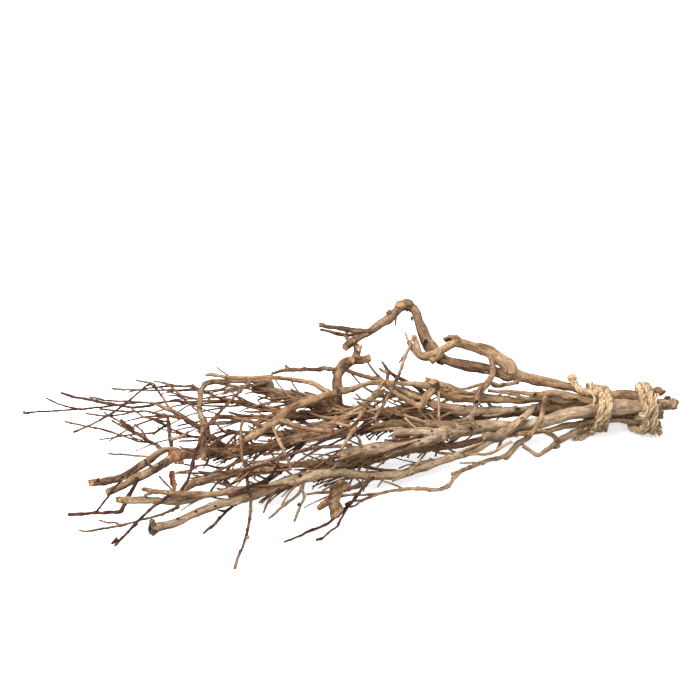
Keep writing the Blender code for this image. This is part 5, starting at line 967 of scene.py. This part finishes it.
def knot(across, down, wide, tall, proud, look, turned=0.0):
    """A low dome on the surface, whose middle is sunk in, with a lumpy rim.

    Its height is the cosine of the way out from its middle, less a bell at the middle.
    """
    ray = sight(across, down)
    place, normal, _, _ = every_solid.ray_cast(Vector(EYE), Vector(ray).normalized())
    if place is None:
        return None
    normal = np.array(normal) * 0.7 - FORWARD * 0.3
    normal /= np.linalg.norm(normal)
    flat = RIGHT * math.cos(math.radians(turned)) + UP * math.sin(math.radians(turned))
    flat = flat - normal * (flat @ normal)
    flat /= np.linalg.norm(flat)
    upward = np.cross(normal, flat)
    down_from_top = np.linspace(0.06, 2.6, 13)[:, None]
    round_it = np.linspace(0, 2 * np.pi, 20, endpoint=False)[None]
    out, rise = np.sin(down_from_top), np.cos(down_from_top)
    lump = 1 + ripple(down_from_top * 0.3, round_it, ((1, 1, 0.12), (2, 1, 0.12), (3, 1, 0.09), (5, 1, 0.06)))
    hollow = {"cut": 0.45, "dark": 0.3, "lump": 0.0, "old": 0.5}[look]
    lift = RAISED + proud * (rise * lump - hollow * np.exp(-(out / 0.6) ** 2) * (rise > 0))
    places = (np.array(place) + SQUARE * (wide * (out * np.cos(round_it) * lump)[..., None] * flat
              + tall * (out * np.sin(round_it) * lump)[..., None] * upward + lift[..., None] * normal))
    grain = places - np.array(place) + chance.uniform(-1, 1, 3)
    top = rise > 0
    inner = np.exp(-(out / 0.76) ** 6) * top * np.ones_like(lump)
    rim = np.exp(-((out - 0.82) / 0.16) ** 2) * np.ones_like(lump)
    tint = np.zeros((*lump.shape, 4))
    tint[..., 3] = 1
    aged = 0.72 + 0.3 * ripple(down_from_top, round_it, ((3, 0.8, 0.5), (5, 0.5, 0.5), (2, 0.3, 0.4)))
    stain = {"cut": 0.65 * rim, "dark": inner + 0.35 * rim, "lump": 0.45 * rim, "old": aged}[look]
    tint[..., 0] = np.clip(stain, 0, 1)
    tint[..., 1] = inner * 0.95 if look == "cut" else 0.0
    tint[..., 2] = 0.35 * rim if look == "dark" else 0.0
    rows = [places, grain, tint]
    return rows, [(row[0].mean(0), row[-1].mean(0)) for row in rows], lump.shape[1]


knots = [knot(*spot) for spot in (
    (400, 305.5, 5.5, 4, 1.6, "cut", 10), (389, 313, 3, 3, 1.6, "lump"), (426.5, 342, 3.6, 4.6, 1.9, "dark", -20),
    (413, 318, 2, 3, 0.9, "dark"), (346, 347, 3.6, 3.4, 1.8, "cut"), (353, 341, 2.6, 2.4, 1.2, "lump"),
    (506, 371, 2, 1.4, 0.7, "dark"), (487, 372, 2.4, 1.5, 0.9, "lump"), (476, 403, 3.6, 2.8, 1.3, "dark", 60),
    (438, 361, 3.8, 3.2, 2.4, "dark"), (432.5, 360, 3, 2.8, 2.4, "cut"), (448.5, 339, 4.6, 3.4, 2.2, "dark"),
    (414, 337, 2.4, 2.2, 1.1, "cut"), (429, 381.5, 4.6, 3.6, 1.8, "cut"), (436, 386, 4.6, 3.6, 2.0, "old"),
    (427.5, 377.5, 3.4, 2, 1.8, "dark"), (433, 383, 5.4, 3.4, 2, "cut"), (440, 380, 3.2, 2.2, 2, "lump"), (446, 389, 4, 3, 1.3, "lump"), (429.5, 402, 3.6, 3, 1.2, "dark"),
    (517, 408.7, 3, 2, 1.0, "dark"), (534.5, 394.5, 2.3, 2, 0.9, "dark"), (153, 523, 3.4, 3.2, 1.5, "old"),
    (154.5, 532.5, 3.8, 2.8, 1.5, "old"), (151, 528, 2.4, 3.8, 1.0, "dark"), (556.5, 446, 3.6, 3, 1.8, "cut"),
    (329, 409.5, 3.6, 4.2, 1.6, "cut"), (351, 360, 4.2, 3.6, 1.8, "cut"), (368.5, 357.6, 2.6, 3.8, 1.7, "cut"), (357, 347.5, 3, 2.6, 1.6, "cut"),
    (270, 383, 4, 2.6, 1.4, "dark"), (283.5, 435, 4.4, 4.4, 1.6, "cut"), (24, 412.6, 1.7, 1.6, 1.3, "lump"),
    (247, 537.8, 2, 1.8, 1.3, "lump"), (229, 431, 2.6, 2.4, 1.6, "dark"), (213, 459, 3.6, 3.4, 1.6, "cut"),
    (240, 460, 2.8, 2.6, 1.3, "cut"), (222, 447, 2.6, 2.4, 1.3, "lump"), (92, 483.5, 2.4, 3.4, 1.2, "cut"),
    (120, 499.5, 2.4, 2.8, 1.2, "cut"), (108, 491.5, 2, 3, 1.1, "lump"), (363, 350, 2.6, 2.4, 1.2, "lump"),
    (335, 372, 3.2, 3.4, 1.3, "old"), (338, 392, 3, 4, 1.2, "old"), (344, 366, 4, 3, 1.4, "old"), (664, 404, 2.6, 3, 1.2, "lump"),
    # The dark knot at (575, 398.5) is painted shade: it darkens the recess between the stems beside the tie.
    (575, 398.5, 4, 2, 0.8, "dark"), (522, 419, 3, 2, 0.9, "lump"), (470, 428, 3, 2, 0.9, "dark"),
    (320, 452, 3.2, 2.2, 1.0, "lump"), (378, 455, 3.4, 2.4, 1.0, "dark"), (232, 497.5, 4, 3, 1.3, "lump"),
    (229, 494, 2.2, 2, 1.1, "dark"), (163, 463, 6, 2.6, 1.0, "old", 35), (156, 468, 4, 2.2, 0.9, "old", 35),
    (124, 478, 3.4, 2.2, 0.9, "dark", 20), (98, 480.5, 2.2, 2.2, 1.0, "dark"), (300, 505, 2, 2, 0.8, "dark"),
    (659.5, 391.3, 5.8, 4.6, 4.2, "lump"), (673.5, 403.5, 5.4, 5.4, 4.4, "lump"), (665, 414.8, 4.6, 4.4, 3.8, "lump"),
    (657.5, 424.3, 3.6, 3, 2.6, "lump"), (668, 398.3, 3, 2.4, 2.2, "old"), (178, 519, 1.6, 1.2, 0.6, "dark"), (196, 512, 1.8, 1.2, 0.6, "dark"), (215, 506, 1.6, 1.2, 0.6, "dark"), (262, 470, 3, 2.2, 1.1, "lump"), (300, 476, 3, 2.2, 1.0, "dark"))]
knot_bark = bark_material(
    "knot bark", "tan_bark", shadow=(0.13, 0.065, 0.031), middle=(0.27, 0.158, 0.085), light=(0.38, 0.242, 0.138),
    pale=(0.57, 0.41, 0.262), scar_and_shade=(0.010, 0.005, 0.003), cut=(0.60, 0.31, 0.13))
old_knots = assemble("bark_knots", [made for made in knots if made], knot_bark)


# Leaf and bark scraps
# Three curled dry scraps caught at the front of the bundle: a long peeled one with torn edges,
# a small leaf and a rolled one.
leaf_skin = bark_material(
    "dry leaf", "dry_leaf", shadow=(0.14, 0.07, 0.034), middle=(0.27, 0.152, 0.08), light=(0.37, 0.225, 0.128),
    pale=(0.50, 0.34, 0.21), scar_and_shade=(0.05, 0.022, 0.012), cut=(0.42, 0.25, 0.12), relief=0.6)
rust_skin = bark_material(
    "rusty leaf", "dry_leaf", shadow=(0.15, 0.052, 0.022), middle=(0.31, 0.125, 0.056), light=(0.43, 0.195, 0.095),
    pale=(0.55, 0.31, 0.17), scar_and_shade=(0.05, 0.018, 0.010), cut=(0.42, 0.25, 0.12), relief=0.6)
BLADE_ROWS = 44
BLADE_COLUMNS = 18


def scrap(node, edges, curl, crinkle, turn_over, skin):
    """A blade between two drawn edges, bowed across and crinkled along, one sheet thick.

    Its depth is the solid's, plus the curl times the square of the way from its middle,
    plus crinkles that run slantwise.
    """
    edges = np.array(edges, float)
    down = np.linspace(edges[0, 0], edges[-1, 0], BLADE_ROWS)
    left = np.interp(down, edges[:, 0], edges[:, 1])
    right = np.interp(down, edges[:, 0], edges[:, 2])
    share = np.linspace(0, 1, BLADE_COLUMNS)
    across = left[:, None] + (right - left)[:, None] * share
    rows = np.broadcast_to(down[:, None], across.shape)
    torn = ripple(down, 0.0, ((0, 9, 0.5), (0, 4, 0.35), (0, 2.3, 0.2)))
    across = across + (torn[:, None] * (2 * share - 1) ** 3) * 0.9
    found = [middles(node, (a + b) / 2, v) for v, a, b in edges]
    middle = float(np.median([f[0] for f in found if f]))
    side = 2 * share - 1
    wide = (right - left)[:, None]
    depth = middle + SQUARE * (curl * wide * 0.5 * (side ** 2 - 0.4) + crinkle * ripple(
        rows, across / 4.0, ((1, 11, 0.6), (2, 7, 0.35), (3, 4, 0.2))) + turn_over * side * wide * 0.25)
    places = placed(np.column_stack([across.ravel(), rows.ravel()]), depth.ravel())
    index = np.arange(places.shape[0]).reshape(across.shape)
    quads = np.stack([index[:-1, :-1], index[1:, :-1], index[1:, 1:], index[:-1, 1:]], -1).reshape(-1, 4)
    grain = np.column_stack([across.ravel() * SQUARE, depth.ravel(), rows.ravel() * SQUARE])
    dark = np.clip(np.abs(side) ** 6 * 0.5 + 0.3 * (ripple(rows, across, ((1, 5, 0.5), (2, 8, 0.5))) > 0.55), 0, 1)
    tint = np.stack([dark.ravel(), *[np.zeros(dark.size)] * 2, np.ones(dark.size)], -1)
    made = make_mesh(node + "_blade", places, quads, np.zeros((0, 3), int), grain, tint, skin)
    sheet = made.modifiers.new("thickness", "SOLIDIFY")
    sheet.thickness = 0.0006
    sheet.offset = 0.0
    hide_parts(node)
    return made


scrap("curled_leaf", [
    (480, 338.5, 342), (484, 335, 352), (488, 330.5, 347.5), (492, 329.5, 343.5), (497, 328, 340.5),
    (501, 327, 339.5), (505, 328.5, 342), (510, 329.5, 344), (514, 330, 340), (519, 331.5, 334.5)],
    curl=-0.5, crinkle=1.1, turn_over=0.4, skin=leaf_skin)
scrap("leaf_scrap", [
    (449, 169.5, 173), (453, 170, 177), (457, 171.5, 180), (461, 173, 183.5), (464.5, 174.5, 185)],
    curl=0.5, crinkle=0.7, turn_over=-0.5, skin=rust_skin)
scrap("rolled_leaf", [
    (470.5, 170.5, 174), (476, 169, 174.5), (482, 170, 176), (487, 172, 176.5), (491, 173.2, 175.4)],
    curl=-1.3, crinkle=0.4, turn_over=0.2, skin=rust_skin)
sprigs("scrap_stub", rust_bark, [[(329, 500.5, 2.4), (324, 504, 2.3), (319, 508, 2.1)]])


# The jute rope
# One soft three-strand jute rope holds the stems: from a knotted end on top it makes two turns
# at the fork, runs on under the stems and makes two more near the butts, where it is knotted.
ROPE_RADIUS = 0.0030
CLEAR = 0.0007
STRAND_RADIUS = 0.00145
STRAND_ARM = 0.0015
LAY_LENGTH = 0.021
PLY_COUNT = 4
STEPS_PER_TURN = 14
ROPE_DEPTH_SQUARES = 20.0
PAST_THE_ROPE = 0.23
TIED_STEMS = ("upper_limb", "lower_limb", "gnarled_stem", "middle_stem", "looped_twig", "under_stem",
              "long_stem", "far_stem", "back_stem")


def jute_material():
    """Pale golden fibres that run along the yarns, with painted shade where the strands meet and in the grooves between
    plies.
    """
    material = bpy.data.materials.new("jute")
    material["slot"] = "jute"
    material.use_nodes = True
    tree = material.node_tree
    shader = tree.nodes["Principled BSDF"]
    shader.inputs["Roughness"].default_value = 0.9
    shader.inputs["Specular IOR Level"].default_value = 0.2
    fibre = grain_noise(tree, 1500, 0.06, 3.0, 0.7)
    patch = grain_noise(tree, 420, 0.5, 2.0, 0.5)
    color = ramp(tree, patch, [(0.35, (0.50, 0.335, 0.19)), (0.5, (0.66, 0.485, 0.295)), (0.66, (0.78, 0.615, 0.415))])
    color = mixed(tree, scaled(tree, fibre, 0.48, 0.62, 0.9), color, (0.42, 0.32, 0.24, 1), "MULTIPLY")
    color = mixed(tree, scaled(tree, fibre, 0.45, 0.3, 0.45), color, (0.80, 0.66, 0.44, 1))
    tint = wired(tree, "ShaderNodeAttribute", [("attribute_name", "tint")])
    parts = wired(tree, "ShaderNodeSeparateColor", Color=tint.outputs["Color"]).outputs
    # Painted shade: the tint's red darkens the strands' inner sides and the grooves between their plies.
    color = mixed(tree, parts["Red"], color, (0.16, 0.09, 0.045, 1))
    tree.links.new(color, shader.inputs["Base Color"])
    bump = wired(tree, "ShaderNodeBump", Height=fibre, Strength=0.6, Distance=0.0005)
    tree.links.new(bump.outputs[0], shader.inputs["Normal"])
    return material


def round_the_stems(across, degrees, lift=0.0):
    """Place on the rope that lies on the tied stems, at an angle up from the viewer's side."""
    x = (across - SHEET_MIDDLE) * (1 - ROPE_DEPTH_SQUARES / EYE_SQUARES) * SQUARE + FOOT_OF_SHEET[0]
    outward = np.array([-math.cos(math.radians(degrees)), math.sin(math.radians(degrees))])
    best = None
    for line, wide in tied:
        for shift in (-1.3, -0.6, 0.0, 0.6, 1.3):
            at = x + shift * ROPE_RADIUS
            if line[0, 0] - 0.001 < at < line[-1, 0] + 0.006:
                y, z, r = (np.interp(at, line[:, 0], column) for column in (line[:, 1], line[:, 2], wide))
                reach = y * outward[0] + z * outward[1] + r
                if best is None or reach > best[0]:
                    best = (reach, y, z, r)
    _, y, z, r = best
    room = r + CLEAR + ROPE_RADIUS + lift
    return (x, y + outward[0] * room, max(z + outward[1] * room, ROPE_RADIUS))


def rope_coil(across, degrees, turns, slant):
    """Turns that lean: each runs one rope's width along, and its top leans by the slant."""
    pitch = (2 * ROPE_RADIUS + CLEAR) / SQUARE
    places = []
    for k in range(STEPS_PER_TURN * turns + 1):
        share = k / STEPS_PER_TURN
        angle = degrees + 360 * share
        lean = slant * (math.sin(math.radians(angle)) - math.sin(math.radians(degrees)))
        places.append(round_the_stems(across + pitch * share + lean, angle))
    return places


def laid_rope(path, turn_start=0.0, arm=STRAND_ARM, thick=STRAND_RADIUS, strands=3, lay=LAY_LENGTH, loose=0.0004,
              sides=12):
    """Rings of a laid rope: each strand is a helix about the path, ridged by its own plies."""
    line, length = smooth_line(np.column_stack([path, np.ones(len(path))]), 0.0008)
    line = line[:, :3]
    along, side, other = frame_of(line)
    turn = np.linspace(0, 2 * np.pi, sides, endpoint=False)
    made = []
    for k in range(strands):
        angle = turn_start + 2 * np.pi * (k / strands + length / lay)
        wobble = 1 + ripple(length, 0.0, ((0, 0.031, 0.14), (0, 0.013, 0.10)))
        center = line + (np.cos(angle) * arm * wobble)[:, None] * side + (np.sin(angle) * arm * wobble)[:, None] * other
        center = center + np.stack([ripple(length, 0.0, ((0, 0.02, 1), (0, 0.009, 0.6))) for _ in range(3)], 1) * loose
        own, left, right = frame_of(center)
        twist = turn[None] - 2 * np.pi * length[:, None] / (lay * 0.55)
        ply = 1 + 0.13 * np.abs(np.cos(PLY_COUNT / 2 * twist)) - 0.06
        wide = thick * ply * (1 + ripple(length, 0.0, ((0, 0.017, 0.07), (0, 0.006, 0.05))))[:, None]
        body = center[:, None] + (np.cos(turn)[None, :, None] * left[:, None]
                                  + np.sin(turn)[None, :, None] * right[:, None]) * wide[..., None]
        body[..., 2] = np.maximum(body[..., 2], 0.0002)
        grain = np.stack([np.cos(twist) * thick, np.sin(twist) * thick,
                          np.broadcast_to(length[:, None], twist.shape)], -1) + chance.uniform(-1, 1, 3)
        # Painted shade: each strand is darkened on its side towards the rope's middle, where the strands press
        # together, and in the narrow grooves between its plies.
        inner = np.cos(turn[None] - np.arctan2((-np.sin(angle))[:, None], (-np.cos(angle))[:, None]))
        dark = np.clip(inner, 0, 1) * 0.35 + np.clip(0.95 - ply, 0, 1) * 3.0
        tint = np.stack([np.clip(dark, 0, 1), *[np.zeros(dark.shape)] * 2, np.ones(dark.shape)], -1)
        rows = [body, grain, tint]
        poles = [(a[0].mean(0), a[-1].mean(0)) for a in rows]
        made.append((rows, poles, sides))
    return made, line


jute = jute_material()
tied = []
for name in TIED_STEMS:
    drawn, depth = grown[name][0]
    line, wide = placed(drawn, depth), drawn[:, 2] / EYE_SQUARES * depth
    tied.append((line[::-1], wide[::-1]) if line[0, 0] > line[-1, 0] else (line, wide))
rope_path = [round_the_stems(573, 95), round_the_stems(580, 93), round_the_stems(587, 92)]
rope_path += rope_coil(593, 100, 2, 1.5)
for share in np.linspace(0.08, 0.94, 15):
    rope_path.append(round_the_stems(607 + 38 * share ** 1.5, 100 + 210 * share ** 0.7, 0.0003))
rope_path += rope_coil(645, 310, 2, -4.0)
laid, rope_line = laid_rope(np.array(rope_path))
laid += laid_rope(np.array(rope_path), 1.2, arm=0.0028, thick=0.00045, strands=4, lay=0.05, loose=0.0006, sides=6)[0]

# Flat slipped yarns cross over the turns, where the rope was pulled tight twice.
for first, degrees, turns, slant, thick in (
        (591, 75, 1, 2.6, 0.0010), (597, 100, 1, -2.2, 0.0010), (642, 80, 1, 2.2, 0.0010), (646, 95, 1, -1.8, 0.0010)):
    turn_places = np.array(rope_coil(first, degrees, turns, slant))
    outward = turn_places - np.array([0, turn_places[:, 1].mean(), turn_places[:, 2].mean()])
    outward[:, 0] = 0
    outward /= np.linalg.norm(outward, axis=1)[:, None]
    laid += laid_rope(turn_places + outward * 0.0012, chance.uniform(0, 6), 0.0008, thick, 2, 0.026, 0.0008, 8)[0]


def wound_ball(middle, size, turns=3.0):
    """A path wound on a ball, each turn tilted on from the last by half a turn over their number."""
    share = np.linspace(0, 1, 44)
    angle, tilt = 2 * np.pi * turns * share, np.pi * share
    ball = np.column_stack([np.cos(angle), np.sin(angle) * np.cos(tilt), np.sin(angle) * np.sin(tilt)])
    return middle + ball * size * (1 - 0.12 * share[:, None])


top_knot = np.array(rope_path[0]) + (0, 0, 0.0006)
laid += laid_rope(wound_ball(top_knot, 0.0030), 0, 0.0005, 0.0013, 2, 0.016, 0.0001)[0]
for across, down, size in ((643, 415.5, 0.0030), (637.5, 418, 0.0023), (600, 391, 0.0020), (606, 414, 0.0020)):
    spot = placed(np.array([[across, down]]), np.array([front(across, down) + 0.0002]))[0]
    laid += laid_rope(wound_ball(spot, size, 2.5), 0, 0.0005, 0.0012, 2, 0.016, 0.0002)[0]

# Its short free end at the fork is frayed into loose yarns.
tail = np.array([(601, 421), (595, 427), (587, 433), (579, 437.5)], float)
tail_depth = front(601, 421) - 0.0006
tail_start = placed(tail[:1], np.array([tail_depth]))[0]
yarns = []
for k in range(28):
    swing = chance.normal(0, 1, 2) * (1.7, 1.9)
    ends = tail + np.linspace(0.25, 1, 4)[:, None] ** 1.2 * swing
    level = np.array([0.0, 4.6, 3.4, 2.2]) * SQUARE * chance.uniform(0.6, 1.3, 4)
    low = [EYE + ray * (max(level[j], 0.0009) - EYE[2]) / ray[2]
           for j, ray in enumerate(sight(ends[:, 0], ends[:, 1]))]
    low[0] = tail_start + chance.normal(0, 0.0012, 3)
    yarns += laid_rope(np.array(low), chance.uniform(0, 6), 0.0004, 0.0007, 2, 0.011, 0.0003, 6)[0]
rope = assemble("jute_rope_laid", laid + yarns, jute)
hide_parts("jute_rope")

# Loose fibres stand off the rope all along, and thickest at its frayed end.
FIBRE_COUNT = 1500
at = chance.integers(3, len(rope_line) - 3, FIBRE_COUNT)
tangent = rope_line[at + 2] - rope_line[at - 2]
tangent /= np.linalg.norm(tangent, axis=1)[:, None]
away = np.cross(tangent, chance.normal(0, 1, (FIBRE_COUNT, 3)))
away /= np.linalg.norm(away, axis=1)[:, None]
root = rope_line[at] + away * ROPE_RADIUS * 0.9
tail_roots = chance.uniform(0.25, 1, 420)
flat_tail = np.array(low)
root_of_tail = np.column_stack([np.interp(tail_roots, np.linspace(0, 1, 4), flat_tail[:, k]) for k in range(3)])
root = np.vstack([root, root_of_tail + chance.normal(0, 0.0012, root_of_tail.shape)])
tail_way = (flat_tail[-1] - flat_tail[0]) / np.linalg.norm(flat_tail[-1] - flat_tail[0])
heading = np.vstack([tangent * chance.choice([-1, 1], FIBRE_COUNT)[:, None] * 0.8 + away * 0.7,
                     np.tile(tail_way, (420, 1))]) + chance.normal(0, 0.35, (FIBRE_COUNT + 420, 3))
reach = np.concatenate([chance.uniform(0.002, 0.0062, FIBRE_COUNT), chance.uniform(0.003, 0.008, 420)])
t = np.linspace(0, 1, 6)[None, :, None]
bend = chance.normal(0, 0.35, (len(root), 1, 3))
hairs = root[:, None] + (heading[:, None] * t + bend * t * t) * reach[:, None, None]
hairs[..., 2] = np.maximum(hairs[..., 2], 0.0003)
thin = np.repeat(chance.uniform(0.00009, 0.00019, (len(root), 1)), 6, 1) * np.linspace(1, 0.5, 6)
places, quads, caps, grain = many_tubes(hairs, thin, 3)
fuzz = make_mesh("jute_fibres", places, quads, caps, grain, np.tile((0.0, 0.0, 0.0, 1.0), (len(places), 1)), jute)


# Floor, lights and background
# A pale studio floor and even daylight from above, with one soft key light from the left. The
# floor glows a little, as paper on a light table does, and the sky gives less light from below.
floor_mesh = bpy.data.meshes.new("floor")
REACH = 12.0
floor_mesh.from_pydata([(-REACH, -REACH, 0), (REACH, -REACH, 0), (REACH, REACH, 0), (-REACH, REACH, 0)],
                       [], [(0, 1, 2, 3)])
paper = bpy.data.materials.new("paper")
paper.use_nodes = True
paper.node_tree.nodes["Principled BSDF"].inputs["Base Color"].default_value = (0.9, 0.9, 0.9, 1)
paper.node_tree.nodes["Principled BSDF"].inputs["Roughness"].default_value = 1.0
paper.node_tree.nodes["Principled BSDF"].inputs["Specular IOR Level"].default_value = 0.0
paper.node_tree.nodes["Principled BSDF"].inputs["Emission Color"].default_value = (1, 1, 1, 1)
paper.node_tree.nodes["Principled BSDF"].inputs["Emission Strength"].default_value = 0.65
floor_mesh.materials.append(paper)
floor = bpy.data.objects.new("floor", floor_mesh)
bpy.context.scene.collection.objects.link(floor)
floor.visible_diffuse = False

world = bpy.data.worlds.new("studio")
bpy.context.scene.world = world
world.use_nodes = True
world.node_tree.nodes["Background"].inputs["Color"].default_value = (1, 1, 1, 1)
height = wired(world.node_tree, "ShaderNodeSeparateXYZ",
               Vector=wired(world.node_tree, "ShaderNodeTexCoord").outputs["Generated"]).outputs["Z"]
glow = wired(world.node_tree, "ShaderNodeMapRange", n0=height, n1=-0.25, n2=0.2, n3=0.12, n4=0.95).outputs[0]
world.node_tree.links.new(glow, world.node_tree.nodes["Background"].inputs["Strength"])

for name, place, size, power, color in (
        ("key", (-0.9, -0.9, 1.6), 1.2, 36, (1.0, 0.98, 0.95)),
        ("top", (0.3, 0.5, 1.8), 1.6, 20, (0.97, 0.98, 1.0))):
    lamp = bpy.data.lights.new(name, "AREA")
    lamp.size = size
    lamp.energy = power
    lamp.color = color
    stand = bpy.data.objects.new(name, lamp)
    stand.location = place
    stand.rotation_euler = (-Vector(place)).to_track_quat("-Z", "Y").to_euler()
    bpy.context.scene.collection.objects.link(stand)

bpy.context.scene.view_settings.view_transform = "Standard"
bpy.context.scene.view_settings.look = "None"
